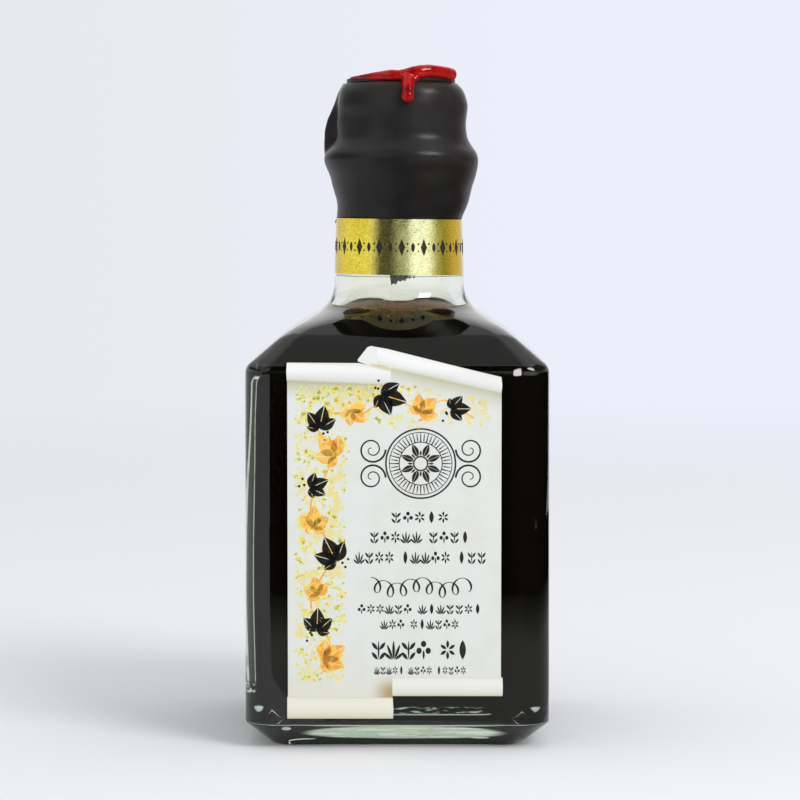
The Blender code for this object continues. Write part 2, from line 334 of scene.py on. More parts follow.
@dataclass(frozen=True)
class DarkVinegar(Finish):
    """Vinegar that looks black in depth, with a painted brown just under its surface where light would shine
    through it.

    Clear glass around it gathers light in its base and in one corner, and that light is painted on the
    vinegar as pale glowing patches: a lens under it, flecks along its lower edge, and a thin loop up one
    corner.
    A tuple of four places is where a patch starts, is full, falls and ends.
    """

    level: float
    floor: float
    name: str = "dark_vinegar"
    deep: str = "15120d"
    backlit_brown: str = "4a3216"
    backlit_depth: float = 1.4
    scum: str = "2c2006"
    scum_light: str = "8a6f2c"
    scum_red: str = "3a1a04"
    scum_edge: str = "4a4730"
    scum_edge_places: Pair = (8.0, 13.5)
    pale: str = "cdd8cb"
    dim: str = "a9b8ab"
    under_top: float = 1.7
    gleams: tuple[Patch, ...] = (
        Patch((1.4, 13.3), (21.8, 10.2), 0.72),
        Patch((17.6, 6.4), (2.2, 1.2)),
        Patch((-23.4, 20.0), (1.0, 2.0)),
        Patch((-20.4, 4.6), (2.8, 0.8)),
    )
    loop_tint: str = "cdd3c7"
    loop_heights: Span = (12.5, 14.0, 77.2, 78.0)
    loop_side: Pair = (-26.6, -27.2)
    loop_back: Line = Line(-23.42, 0.6, (50.0, 82.0), 0.15, 0.05)
    loop_front: Line = Line(-24.42, 0.36, (66.0, 80.0), 0.11, 0.02)
    loop_tip: Patch = Patch((-24.4, 77.3), (0.4, 0.35), 0.5, 1.0)
    loop_hook: Patch = Patch((-23.7, 11.9), (0.95, 1.3), 0.6, 1.0)
    # A painted highlight high on the right of the front: its middle, half sizes and tint.
    spot: Pair = (24.95, 78.25)
    spot_half: Pair = (0.9, 0.42)
    highlight_tint: str = "d8d4d6"
    fleck_across: Span = (-13.5, -11.5, 16.5, 18.5)
    fleck_rise: Span = (0.2, 0.5, 1.7, 2.1)

    def paint(self, graph: Graph, point: Wire) -> None:
        """A dark skin with a painted backlit brown near the level, and the painted light that the glass
        brings to it.
        """
        _, _, height = graph.split(point)
        cloud = graph.noise(point, 0.5, stretch=(1.0, 1.0, 2.5))
        wavering = height + (cloud - 0.5) * 1.6
        # Painted light: the brown just under the level stands for light shining through the thin top of the
        # vinegar.
        thin = graph.rise(wavering, self.level - self.backlit_depth, self.level - 0.2)
        values = {
            "Base Color": graph.mix(thin, self.deep, self.backlit_brown),
            "Roughness": 0.15 + (cloud - 0.5) * 0.06,
            "Specular IOR Level": 0.0,
            "Emission Color": self._lit(graph, point),
            "Emission Strength": 1.0,
        }
        coated(graph, values)

    def _lit(self, graph: Graph, point: Wire) -> Wire:
        """Painted light that the glass brings to the vinegar's skin, given as a glow."""
        _, _, height = graph.split(point)
        light = self._underside(graph, point)
        light = graph.mix(self._loop(graph, point), light, self.loop_tint)
        light = graph.mix(self._highlight_spot(graph, point), light, self.highlight_tint)
        surface = graph.rise(height, self.level - 0.06, self.level - 0.04)
        return graph.mix(surface, light, self._scum(graph, point))

    def _underside(self, graph: Graph, point: Wire) -> Wire:
        """Painted light: pale patches that reach the vinegar through the base, crossed by darker lines."""
        across, depth, height = graph.split(point)
        swirl = graph.noise(point, 0.3, 3.0, stretch=(0.3, 1.3, 1.0))
        lines = graph.rise(abs(swirl - 0.5), 0.0, 0.022)
        patch = self.gleams[0].share(graph, across, abs(depth))
        for gleam in self.gleams[1:]:
            patch = graph.most(patch, gleam.share(graph, across, abs(depth)))
        under = graph.rise(height, self.floor + self.under_top, self.floor + self.under_top - 0.3)
        patch = patch * under * (0.45 + lines * 0.55)
        patch = graph.most(patch, self._flecks(graph, point))
        tone = graph.mix(graph.rise(swirl, 0.35, 0.65), self.dim, self.pale)
        return graph.mix(patch, "000000", tone)

    def _scum(self, graph: Graph, point: Wire) -> Wire:
        """Brown froth over the surface, seen at a low angle through the neck, its colours given as a painted
        glow.
        """
        across, _, _ = graph.split(point)
        specks = graph.noise(point, 2.6, 3.0, stretch=(1.0, 0.14, 1.0))
        broad = graph.noise(point, 0.35, 2.0, stretch=(1.0, 0.3, 1.0))
        base = graph.mix(graph.rise(broad, 0.42, 0.6), self.scum, self.scum_red)
        base = graph.mix(graph.rise(abs(across), *self.scum_edge_places), base, self.scum_edge)
        return graph.mix(graph.rise(specks, 0.53, 0.62), base, self.scum_light)

    def _loop(self, graph: Graph, point: Wire) -> Wire:
        """A long thin painted loop of light up the left front corner, with a bright tip and a curl at its
        foot.
        """
        across, depth, height = graph.split(point)
        broken = graph.rise(graph.noise(point, 0.4, 3.0), 0.3, 0.5) * 0.4 + 0.6
        back = self.loop_back.aside(graph, depth, height)
        front = self.loop_front.aside(graph, depth, height)
        glow = graph.most(self.loop_back.share(graph, back), self.loop_front.share(graph, front) * 0.9)
        within = graph.rise(back, 0.1, -0.1) * graph.rise(front, -0.1, 0.1)
        glow = graph.most(glow * broken * 0.85, within * 0.05) * graph.span(height, *self.loop_heights)
        swirl = graph.noise(point, 1.1, 3.0, stretch=(1.0, 1.6, 1.0))
        hook = self.loop_hook.share(graph, depth, height) * graph.rise(swirl, 0.5, 0.6) * 0.8
        glow = graph.most(graph.most(glow, self.loop_tip.share(graph, depth, height)), hook)
        return glow * graph.rise(across, *self.loop_side)

    def _highlight_spot(self, graph: Graph, point: Wire) -> Wire:
        """A painted highlight: a small bright spot high on the right of the front."""
        across, depth, height = graph.split(point)
        x = (across - self.spot[0]) / self.spot_half[0]
        z = (height - self.spot[1]) / self.spot_half[1]
        return graph.rise(x * x * x * x + z * z * z * z, 1.0, 0.4) * graph.rise(depth, -20.0, -22.0)

    def _flecks(self, graph: Graph, point: Wire) -> Wire:
        """Painted flecks of light along the lower front edge."""
        across, depth, height = graph.split(point)
        spots = graph.rise(graph.noise(point, 0.9, 4.0, stretch=(0.45, 1.0, 1.6)), 0.52, 0.6)
        spots = spots * graph.span(height - self.floor, *self.fleck_rise)
        return spots * graph.span(across, *self.fleck_across) * graph.rise(depth, -24.0, -24.5) * 0.75


@dataclass(frozen=True)
class Froth(Finish):
    """Tiny bubbles that the vinegar leaves along the glass."""

    name: str = "froth"
    dark: str = "3d2c10"
    light: str = "9a8348"
    red: str = "6e3a1e"
    glow: float = 0.7

    def paint(self, graph: Graph, point: Wire) -> None:
        """Brown bubbles, some lighter and some redder, with a faint painted glow that stands for light
        reaching them through the glass.
        """
        spots = graph.noise(point, 3.0, 3.0)
        warm = graph.noise(point, 0.9, 2.0)
        colour = graph.mix(graph.rise(warm, 0.45, 0.65), self.dark, self.red)
        colour = graph.mix(graph.rise(spots, 0.5, 0.68), colour, self.light)
        values = {
            "Base Color": colour,
            "Roughness": 0.15 + spots * 0.1,
            "Coat Weight": 0.4,
            "Emission Color": colour,
            "Emission Strength": self.glow,
        }
        coated(graph, values)


@dataclass(frozen=True)
class GoldFoil(Finish):
    """Bright foil paper with the fine grain of its rolled surface."""

    name: str = "gold_foil"
    gold: str = "efdd52"
    deep_gold: str = "ecd44e"
    dull: str = "d8d8c8"
    pale: str = "f6f6c8"
    # Where the painted highlight makes the foil paler, by x in millimetres, and how much.
    highlight_stops: Pairs = (
        (-7.0, 0.0), (-3.5, 0.3), (0.5, 0.45), (3.5, 0.92), (6.0, 0.9), (9.5, 0.0),
    )
    roughness: float = 0.12

    def paint(self, graph: Graph, point: Wire) -> None:
        """Foil with a fine grain and a painted highlight, paler over a part of its front."""
        grain = graph.noise(point, 2.4, 3.0)
        sweep = graph.noise(point, 0.12, 1.0)
        colour = graph.mix(graph.rise(sweep, 0.35, 0.65), self.gold, self.deep_gold)
        colour = graph.mix(self._pale_highlight(graph, point), colour, self.pale)
        values = {
            "Base Color": graph.tinted(colour, graph.mix(graph.rise(grain, 0.3, 0.7), self.dull, "ffffff")),
            "Metallic": 1.0,
            "Roughness": self.roughness + (grain - 0.5) * 0.1,
            "Normal": graph.bump(grain, 0.03, 0.7),
        }
        coated(graph, values)

    def _pale_highlight(self, graph: Graph, point: Wire) -> Wire:
        """How much paler the painted highlight makes the foil, over a part of its front."""
        across, depth, _ = graph.split(point)
        low, high = self.highlight_stops[0][0], self.highlight_stops[-1][0]
        stops = [((x - low) / (high - low), (share, share, share, 1.0)) for x, share in self.highlight_stops]
        share = graph.node("ShaderNodeValToRGB", {"stops": stops}, {"Fac": (across - low) / (high - low)})
        return share * graph.rise(depth, 1.0, -3.0)


@dataclass(frozen=True)
class BlackWaxFinish(Finish):
    """Satin black sealing wax with soft marks from the dip, painted darker low down as shade, and darker and
    olive on the ragged wax under the band.
    """

    name: str = "black_wax"
    body: str = "211f1d"
    worn: str = "282624"
    low_shade_tint: str = "b4aeac"
    low_shade_heights: Pair = (125.5, 120.5)
    fringe_tint: str = "8c8450"
    fringe_tint_heights: Pair = (100.0, 99.0)
    roughness: float = 0.36

    def paint(self, graph: Graph, point: Wire) -> None:
        """Satin wax, uneven broadly and finely, with painted shade low down and an olive tint on the ragged
        wax.
        """
        broad = graph.noise(point, 0.18, 3.0, stretch=(1.0, 1.0, 0.6))
        fine = graph.noise(point, 3.5, 3.0)
        colour = graph.mix(graph.rise(broad, 0.4, 0.75), self.body, self.worn)
        _, _, height = graph.split(point)
        # Painted shade: the lower part of the cap is darkened.
        colour = graph.tinted(colour, self.low_shade_tint, graph.rise(height, *self.low_shade_heights))
        # Darker and olive below the band, on the ragged wax.
        colour = graph.tinted(colour, self.fringe_tint, graph.rise(height, *self.fringe_tint_heights))
        values = {
            "Base Color": colour,
            "Roughness": self.roughness + (fine - 0.5) * 0.12,
            "IOR": 1.34,
            "Specular IOR Level": 0.5,
            "Normal": graph.bump(broad + fine * 0.06, 0.3, 0.5),
        }
        coated(graph, values)


@dataclass(frozen=True)
class RedWaxFinish(Finish):
    """Glossy red sealing wax, poured and set."""

    name: str = "red_wax"
    body: str = "a80606"
    deep: str = "760303"

    def paint(self, graph: Graph, point: Wire) -> None:
        """Two depths of red under a thin gloss."""
        cloud = graph.noise(point, 0.5, 2.0)
        fine = graph.noise(point, 2.4, 2.0)
        values = {
            "Base Color": graph.mix(graph.rise(cloud, 0.4, 0.7), self.body, self.deep),
            "Roughness": 0.16 + (fine - 0.5) * 0.08,
            "Specular IOR Level": 0.14,
            "Coat Weight": 0.4,
            "Coat Roughness": 0.06,
            "Normal": graph.bump(fine, 0.03, 0.25),
        }
        coated(graph, values)


@dataclass(frozen=True)
class Ink(Finish):
    """Printing ink, one colour with a second one that breaks through it in flecks."""

    name: str
    main: str
    fleck: str
    fleck_share: float = 0.35
    fleck_scale: float = 1.2

    def paint(self, graph: Graph, point: Wire) -> None:
        """One colour with flecks of the other."""
        spots = graph.noise(point, self.fleck_scale, 4.0)
        start = 0.72 - 0.3 * self.fleck_share
        colour = graph.mix(graph.rise(spots, start, start + 0.08), self.main, self.fleck)
        values = {"Base Color": colour, "Roughness": 0.5 + (spots - 0.5) * 0.2, "Specular IOR Level": 0.3}
        coated(graph, values)


@dataclass(frozen=True)
class PrintedRoll:
    """A curled edge of the scroll, printed flat: its ends, and the heights of its edges at either end."""

    left: float
    right: float
    low: Pair
    high: Pair
    shadow: float = 6.0
    shadow_depth: float = 0.55

    def mask(self, graph: Graph, across: Wire, height: Wire) -> tuple[Wire, Wire, Wire]:
        """Where the roll and its shadow are.

        Args:
            graph: the paper's graph.
            across: x of the point, in millimetres.
            height: z of the point, in millimetres.

        Returns:
            The roll's mask, how far up the roll the point is (0 to 1), and the mask of the shadow below.
        """
        share = (across - self.left) / (self.right - self.left)
        low = share * (self.low[1] - self.low[0]) + self.low[0]
        high = share * (self.high[1] - self.high[0]) + self.high[0]
        up = (height - low) / (high - low)
        inside = graph.span(across, self.left - 0.05, self.left + 0.1, self.right - 0.05, self.right + 0.1)
        above = graph.rise(up, -0.02, 0.03)
        mask = inside * above * graph.rise(up, 1.03, 0.98)
        under = graph.rise(height - low, -self.shadow, 0.0, soft=False)
        return mask, up, inside * (1.0 - above) * under * under * self.shadow_depth


@dataclass(frozen=True)
class ScrollPaper(Finish):
    """Label paper printed as a scroll, with its rolls, their shadows and an aged tint along the edges.

    A tuple of four places is where a tint starts, is full, falls and ends.
    """

    rolls: tuple[PrintedRoll, ...]
    aside: float
    name: str = "scroll_paper"
    paper: str = "e9ebe4"
    cloud: str = "e6e7db"
    gain: float = 0.895
    gilt: str = "f0e08c"
    gilt_left: Span = (-21.3, -20.0, -12.0, -10.2)
    gilt_left_heights: Span = (14.0, 17.0, 75.5, 76.5)
    gilt_top: Span = (-20.8, -19.8, 19.4, 20.6)
    gilt_top_low: Pair = (67.5, 70.0)
    fold_shade: str = "b39a58"
    fold_across: Span = (-6.0, -0.9, -0.7, -0.6)
    fold_heights: Span = (10.4, 10.6, 12.0, 16.4)
    roll_shadow: str = "b3ad72"
    roll_stops: tuple[tuple[float, str], ...] = (
        (0.0, "cfcdb4"),
        (0.1, "e2e0d3"),
        (0.35, "eeefea"),
        (0.7, "f5f5ef"),
        (0.95, "f0f0e6"),
        (1.0, "dcdcd0"),
    )
    foot_tint: str = "fffcf0"
    foot_heights: Pair = (18.0, 9.0)
    lap_shade: str = "d3bd7c"
    lap_across: Span = (-6.2, -4.2, -1.3, -0.9)
    lap_under: Span = (-0.25, 0.15, 0.2, 1.1)

    def paint(self, graph: Graph, point: Wire) -> None:
        """Clouded paper under its gilding, its fold, its rolls and their shadows."""
        across, _, height = graph.split(point)
        across = across - self.aside
        mottle = graph.noise(point, 0.16, 3.0)
        colour = graph.mix(graph.rise(mottle, 0.35, 0.7), self.paper, self.cloud)
        colour = graph.mix(self._gilded(graph, point, across, height), colour, self.gilt)
        fold = graph.span(across, *self.fold_across) * graph.span(height, *self.fold_heights)
        colour = graph.mix(fold * 0.9, colour, self.fold_shade)
        stops = [(place, linear(code)) for place, code in self.roll_stops]
        for roll in self.rolls:
            mask, up, shadow = roll.mask(graph, across, height)
            colour = graph.mix(shadow, colour, self.roll_shadow)
            skin = graph.node("ShaderNodeValToRGB", {"stops": stops}, {"Fac": up})
            colour = graph.mix(mask, colour, skin)
        colour = graph.tinted(colour, self.foot_tint, graph.rise(height, *self.foot_heights))
        colour = graph.mix(self._lap_line(graph, across, height), colour, self.lap_shade)
        fibres = graph.noise(point, 5.0, 3.0)
        values = {
            "Base Color": graph.tinted(colour, (self.gain, self.gain, self.gain, 1.0)),
            "Roughness": 0.6 + (fibres - 0.5) * 0.15,
            "Specular IOR Level": 0.25,
            "Normal": graph.bump(fibres, 0.02, 0.4),
        }
        coated(graph, values)

    def _lap_line(self, graph: Graph, across: Wire, height: Wire) -> Wire:
        """A thin warm shade where the tilted roll lies over the flat one."""
        tilted = self.rolls[0]
        fall = (tilted.low[1] - tilted.low[0]) / (tilted.right - tilted.left)
        under = (across - tilted.left) * fall + tilted.low[0] - height
        return graph.span(under, *self.lap_under) * graph.span(across, *self.lap_across) * 0.75

    def _gilded(self, graph: Graph, point: Wire, across: Wire, height: Wire) -> Wire:
        """Pale yellow clouds behind the vine, along the left and over the top."""
        left = graph.span(across, *self.gilt_left) * graph.span(height, *self.gilt_left_heights)
        top = graph.rise(height, *self.gilt_top_low) * graph.span(across, *self.gilt_top)
        top = top * graph.rise(height + across * 0.22, 77.5, 76.5)
        clouds = graph.rise(graph.noise(point, 0.34, 4.0), 0.5, 0.62)
        return graph.most(left, top) * clouds * 0.8


def mesh_object(name: str, points: np.ndarray, faces: Faces) -> Piece:
    """Makes a smooth-shaded object.

    Args:
        name: the object's name.
        points: rows of x, y and z in millimetres.
        faces: the points of each face, in order.

    Returns:
        The object, in the scene.
    """
    mesh = bpy.data.meshes.new(name)
    mesh.from_pydata((np.asarray(points) * MM).tolist(), [], faces)
    shape = bmesh.new()
    shape.from_mesh(mesh)
    bmesh.ops.recalc_face_normals(shape, faces=shape.faces)
    shape.to_mesh(mesh)
    shape.free()
    return object_of(name, mesh)


def object_of(name: str, mesh: bpy.types.Mesh) -> Piece:
    """Puts a mesh in the scene, shaded smooth but for its sharp edges."""
    mesh.shade_smooth()
    mesh.set_sharp_from_angle(angle=SHARP)
    return in_scene(name, mesh)


def in_scene(name: str, data: bpy.types.ID) -> Piece:
    """Puts an object with that mesh, camera or light in the scene."""
    made = bpy.data.objects.new(name, data)
    bpy.context.scene.collection.objects.link(made)
    return made


def formed(name: str, shape: bmesh.types.BMesh) -> Piece:
    """Turns a shape in the making into an object."""
    mesh = bpy.data.meshes.new(name)
    shape.to_mesh(mesh)
    shape.free()
    return object_of(name, mesh)


def settled(name: str, source: Piece) -> Piece:
    """A plain object with the result of a piece's modifiers, which takes the piece's place."""
    depsgraph = bpy.context.evaluated_depsgraph_get()
    mesh = bpy.data.meshes.new_from_object(source.evaluated_get(depsgraph), depsgraph=depsgraph)
    bpy.data.objects.remove(source)
    return object_of(name, mesh)


def loft(rings: np.ndarray, closed: bool = False) -> Faces:
    """Faces of a skin over rings of points.

    Args:
        rings: an array of rings, each with the same number of points.
        closed: joins the last ring to the first, where the ends would otherwise be capped.

    Returns:
        The faces, over the rings' points taken in turn.
    """
    count, around = rings.shape[:2]
    last = count if closed else count - 1
    faces = []
    for level in range(last):
        low, high = level * around, (level + 1) % count * around
        faces += [
            (low + k, low + (k + 1) % around, high + (k + 1) % around, high + k) for k in range(around)
        ]
    if not closed:
        faces.append(tuple(reversed(range(around))))
        faces.append(tuple(range((count - 1) * around, count * around)))
    return faces


def lofted(name: str, rings: Iterable[np.ndarray], closed: bool = False) -> Piece:
    """An object whose skin joins rings of points in turn."""
    stacked = np.array(list(rings))
    return mesh_object(name, stacked.reshape(-1, 3), loft(stacked, closed))


def joined(name: str, parts: Sequence[Piece]) -> Piece:
    """One object from several, which it takes the place of."""
    shape = bmesh.new()
    for part in parts:
        shape.from_mesh(part.data)
        bpy.data.objects.remove(part)
    return formed(name, shape)


def finished(
    piece: Piece,
    material: Material,
    replaces: str | None = None,
) -> Piece:
    """Dresses a piece and hangs it on the frame.

    Args:
        piece: the piece, in its place.
        material: its finish.
        replaces: the solid that it stands for.

    Returns:
        The piece.
    """
    piece.data.materials.clear()
    piece.data.materials.append(material)
    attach(piece, BODY)
    if replaces:
        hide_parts(replaces)
    return piece


def filleted(corners: Sequence[tuple[float, float, float, int]]) -> list[Pair]:
    """Rounds the corners of an outline.

    Args:
        corners: half width, height, radius of the bend and steps along it, for each corner.

    Returns:
        The outline's points.
    """
    outline = [corners[0][:2]]
    for before, at, after in zip(corners, corners[1:], corners[2:]):
        point = np.array(at[:2])
        back = np.array(before[:2]) - point
        on = np.array(after[:2]) - point
        back, on = back / np.linalg.norm(back), on / np.linalg.norm(on)
        half_angle = math.acos(float(np.clip(back @ on, -1, 1))) / 2
        reach = at[2] / math.tan(half_angle)
        centre = point + (back + on) / np.linalg.norm(back + on) * at[2] / math.sin(half_angle)
        start, end = point + back * reach - centre, point + on * reach - centre
        sweep = math.pi - 2 * half_angle
        for k in range(at[3] + 1):
            share = k / at[3]
            arc = (math.sin((1 - share) * sweep) * start + math.sin(share * sweep) * end) / math.sin(sweep)
            outline.append(tuple(float(v) for v in centre + arc))
    return outline + [corners[-1][:2]]


def with_levels(outline: Sequence[Pair], step: float) -> list[Pair]:
    """The outline with more points along its long stretches."""
    finer = [outline[0]]
    for low, high in zip(outline, outline[1:]):
        count = max(math.ceil(math.dist(low, high) / step), 1)
        finer += [tuple(np.array(low) + (np.array(high) - low) * (k + 1) / count) for k in range(count)]
    return finer


def waves(angles: np.ndarray, height: float, each: Rows) -> np.ndarray:
    """Waves round an axis, each with its depth, count, twist with height and start."""
    return sum(deep * np.sin(count * angles + twist * height + start) for deep, count, twist, start in each)


@dataclass(frozen=True)
class BottleForm:
    """The glass outside and inside, which the bottle, the vinegar and the label share.

    A half is half the width of the square, a corner its corner radius seen from above, and a bend the
    radius where the side view turns.
    """

    push_up_half: float = 22.6
    push_up: float = 0.7
    foot_flat_half: float = 24.0
    foot_half: float = 26.6
    foot_corner: float = 5.3
    foot_bend: float = 0.7
    heel_height: float = 5.1
    heel_bend: float = 0.8
    body_half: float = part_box("glass_bottle")[1].x / MM
    body_top_half: float = 31.7
    body_corner: float = 5.8
    rounding_start_half: float = 22.5
    shoulder_height: float = 79.7
    shoulder_bend: float = 3.0
    slope_break: Pair = (24.6, 85.75)
    slope_bend: float = 15.0
    neck_root_height: float = 92.7
    neck_root_bend: float = 7.0
    neck_radius: float = 14.0
    seat_radii: Pair = (13.85, 13.5)
    seat_heights: Pair = (98.1, 109.9)
    finish_radius: float = 12.4
    finish_top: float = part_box("glass_bottle")[1].z / MM
    floor_height: float = 6.6
    floor_dome: float = 0.9
    floor_dome_radii: Pair = (6.0, 20.0)
    floor_edge_bend: float = 4.5
    cavity_half: float = 28.9
    cavity_corner: float = 8.0
    cavity_shoulder_bend: float = 5.0
    cavity_neck_root_bend: float = 10.0
    cavity_neck_radius: float = 10.8
    wall_at_shoulder: float = 3.0
    flat_steps: int = 16
    corner_steps: int = 14
    level_step: float = 1.7
    neck_lean: float = 0.3
    lean_start: float = 84.0
    lean_rise: float = 10.0
    slow_waves: Rows = ((0.10, 3, 0.07, 0.0), (0.05, 8, -0.12, 0.0))
    quick_waves: Rows = ((0.22, 11, 0.0, 1.3), (0.12, 23, 0.0, 0.4))

    def lean(self, height: float | np.ndarray) -> float | np.ndarray:
        """How far the bottle's middle has moved to the right at that height, all of it in the neck."""
        share = np.clip((height - self.lean_start) / self.lean_rise, 0.0, 1.0)
        return self.neck_lean * share * share * (3 - 2 * share)

    @property
    def angles(self) -> np.ndarray:
        """Directions round the bottle, close together round its corners."""
        bend = math.atan2(self.body_half - self.body_corner, self.body_half)
        flat = [bend * k / self.flat_steps for k in range(self.flat_steps)]
        corner = [bend + (math.pi / 4 - bend) * k / self.corner_steps for k in range(self.corner_steps + 1)]
        first = flat + corner
        quarter = first + [QUARTER - a for a in reversed(first[1:-1])]
        return np.array([a + QUARTER * turn for turn in range(4) for a in quarter])

    def reach(self, half: float, corner: float) -> np.ndarray:
        """Distance from the centre to the edge of a square with round corners, in each direction."""
        corner = min(corner, half)
        turned = self.angles % QUARTER
        folded = np.minimum(turned, QUARTER - turned)
        centre = half - corner
        along = centre * (np.cos(folded) + np.sin(folded))
        across = centre**2 * (1 - np.sin(2 * folded))
        bent = along + np.sqrt(np.maximum(corner**2 - across, 0))
        return np.where(half * np.tan(folded) <= centre, half / np.cos(folded), bent)

    def ring(self, reach: np.ndarray, height: float | np.ndarray) -> np.ndarray:
        """One level, as points at that reach in each direction."""
        heights = np.broadcast_to(height, reach.shape)
        across = reach * np.cos(self.angles) + self.lean(heights)
        return np.stack([across, reach * np.sin(self.angles), heights], axis=1)

    def outer_corner(self, half: float, height: float) -> float:
        """Corner radius outside: crisp up the wall and over the shoulder, then round towards the neck."""
        if height <= self.heel_height:
            return self.foot_corner + (self.body_corner - self.foot_corner) * height / self.heel_height
        span = self.rounding_start_half - self.neck_radius
        rounding = smooth_step((self.rounding_start_half - half) / span)
        crisp = self.body_corner * half / self.body_half
        return crisp + (half - crisp) * rounding

    def inner_corner(self, half: float, height: float) -> float:
        """Corner radius of the cavity, rounder than the outside, so that the corners are thick."""
        crisp = self.cavity_corner * half / self.cavity_half
        if height < self.shoulder_height / 2:
            return crisp
        span = self.rounding_start_half - self.cavity_neck_radius
        rounding = smooth_step((self.rounding_start_half - half) / span)
        return crisp + (half - crisp) * rounding

    def outer_outline(self) -> list[Pair]:
        """Half width and height up the outside, from the foot to the band."""
        corners = [
            (self.foot_flat_half, 0.0, 0.0, 0),
            (self.foot_half, 0.0, self.foot_bend, 6),
            (self.body_half, self.heel_height, self.heel_bend, 8),
            (self.body_top_half, self.shoulder_height, self.shoulder_bend, 14),
            (*self.slope_break, self.slope_bend, 6),
            (self.neck_radius, self.neck_root_height, self.neck_root_bend, 12),
            (self.neck_radius, self.seat_heights[0] - 0.1, 0.0, 0),
        ]
        return with_levels(filleted(corners), self.level_step)

    def inner_outline(self) -> list[Pair]:
        """Half width and height up the cavity, from its floor to the top of the neck."""
        middle, edge = self.floor_dome_radii
        wall = self.wall_at_shoulder
        corners = [
            (middle, self.floor_height + self.floor_dome, 0.0, 0),
            (edge, self.floor_height + self.floor_dome / 2, 50.0, 3),
            (self.cavity_half, self.floor_height, self.floor_edge_bend, 12),
            (self.cavity_half, self.shoulder_height - 0.5 * wall, self.cavity_shoulder_bend, 12),
            (self.slope_break[0] - 0.4 * wall, self.slope_break[1] - 0.9 * wall, self.slope_bend, 4),
            (self.cavity_neck_radius, self.neck_root_height - 0.6 * wall, self.cavity_neck_root_bend, 12),
            (self.cavity_neck_radius, self.finish_top, 0.0, 0),
        ]
        return with_levels(filleted(corners), self.level_step)

    def stray(self, height: float) -> np.ndarray:
        """How far the moulded inside strays from its outline in each direction, most of all low down."""
        calm = 1 - 0.8 * smooth_step((height - self.shoulder_height + 4) / 10)
        low = math.exp(-(((height - self.floor_height) / 4.5) ** 2))
        slow = waves(self.angles, height, self.slow_waves)
        return calm * slow + low * waves(self.angles, height, self.quick_waves)

    def inner_rings(self, clear: float = 0.0) -> list[np.ndarray]:
        """Rings up the wall of the cavity, or that far inside it."""
        outline = self.inner_outline()
        rings = []
        for before, at, after in zip(outline[:1] + outline, outline, outline[1:] + outline[-1:]):
            along = np.array(after) - np.array(before)
            inward = clear * np.array((-along[1], along[0])) / np.linalg.norm(along)
            half, height = np.array(at) + inward
            reach = self.reach(half, self.inner_corner(*at) + inward[0])
            rings.append(self.ring(reach + self.stray(at[1]) * half / self.cavity_half, height))
        return rings

    def outer_rings(self) -> list[np.ndarray]:
        """Rings up the outside, from the push-up under the foot to the top of the neck."""
        under = self.reach(self.push_up_half, self.foot_corner)
        steps = (0.25, 0.6, 1.0)
        rings = [self.ring(under * share, self.push_up * (1.25 - 0.25 * share)) for share in steps]
        for half, height in self.outer_outline():
            rings.append(self.ring(self.reach(half, self.outer_corner(half, height)), height))
        seats = list(zip(self.seat_radii, self.seat_heights))
        seats += [(self.finish_radius, self.seat_heights[1]), (self.finish_radius, self.finish_top)]
        return rings + [self.ring(self.reach(radius, radius), z) for radius, z in seats]

    def front(self, heights: np.ndarray) -> np.ndarray:
        """Distance of the front of the glass from the bottle's middle plane."""
        halves, levels = zip(*self.outer_outline())
        return np.interp(heights, levels, halves)


@dataclass(frozen=True)
class GlassBottle:
    """The bottle itself, one shell open at the top of its neck."""

    form: BottleForm
    finish: ClearGlass = ClearGlass()

    def build(self) -> list[Piece]:
        """Makes the shell."""
        rings = self.form.outer_rings() + self.form.inner_rings()[::-1]
        shell = lofted("bottle_shell", rings)
        return [finished(shell, self.finish.material(), "glass_bottle")]


class Recipe:
    """A Geometry Nodes tree with named inputs, run on one object and turned into a plain mesh."""

    def __init__(self, name: str, inputs: dict[str, str]) -> None:
        """Starts the tree.

        Args:
            name: the tree's name.
            inputs: its inputs' names and kinds. "Source" and "Material" are always there.
        """
        self.tree = bpy.data.node_groups.new(name, "GeometryNodeTree")
        self.graph = Graph(self.tree)
        self.identifiers: dict[str, str] = {}
        sockets = self.tree.interface
        for label, kind in {"Source": "Geometry", **inputs, "Material": "Material"}.items():
            made = sockets.new_socket(name=label, in_out="INPUT", socket_type=f"NodeSocket{kind}")
            self.identifiers[label] = made.identifier
        sockets.new_socket(name="Result", in_out="OUTPUT", socket_type="NodeSocketGeometry")
        self.entry = self.tree.nodes.new("NodeGroupInput")

    def given(self, label: str) -> Wire:
        """One of the tree's inputs."""
        return Wire(self.graph, self.entry.outputs[label])

    def uneven(self, least: Value, most: Value, seed: Wire) -> Wire:
        """A number drawn for each point."""
        values = {2: least, 3: most, "Seed": seed}
        return self.graph.node("FunctionNodeRandomValue", {"data_type": "FLOAT"}, values, output=1)

    def ends_in(self, geometry: Wire) -> None:
        """Realizes the instances, gives them their material and ends the tree."""
        real = self.graph.node("GeometryNodeRealizeInstances", values={"Geometry": geometry})
        values = {"Geometry": real, "Material": self.given("Material")}
        done = self.graph.node("GeometryNodeSetMaterial", values=values)
        exit_node = self.tree.nodes.new("NodeGroupOutput")
        self.tree.links.new(done.socket, exit_node.inputs[0])

    def made_from(self, source: Piece, values: dict[str, Value]) -> Piece:
        """Runs the tree on an object, which it takes the place of.

        Args:
            source: the object with the points or faces that the tree starts from.
            values: numbers, objects and materials for the tree's inputs, by name.

        Returns:
            A plain mesh object with the result.
        """
        modifier = source.modifiers.new(self.tree.name, "NODES")
        modifier.node_group = self.tree
        for label, value in values.items():
            modifier[self.identifiers[label]] = value
        return settled(source.name, source)


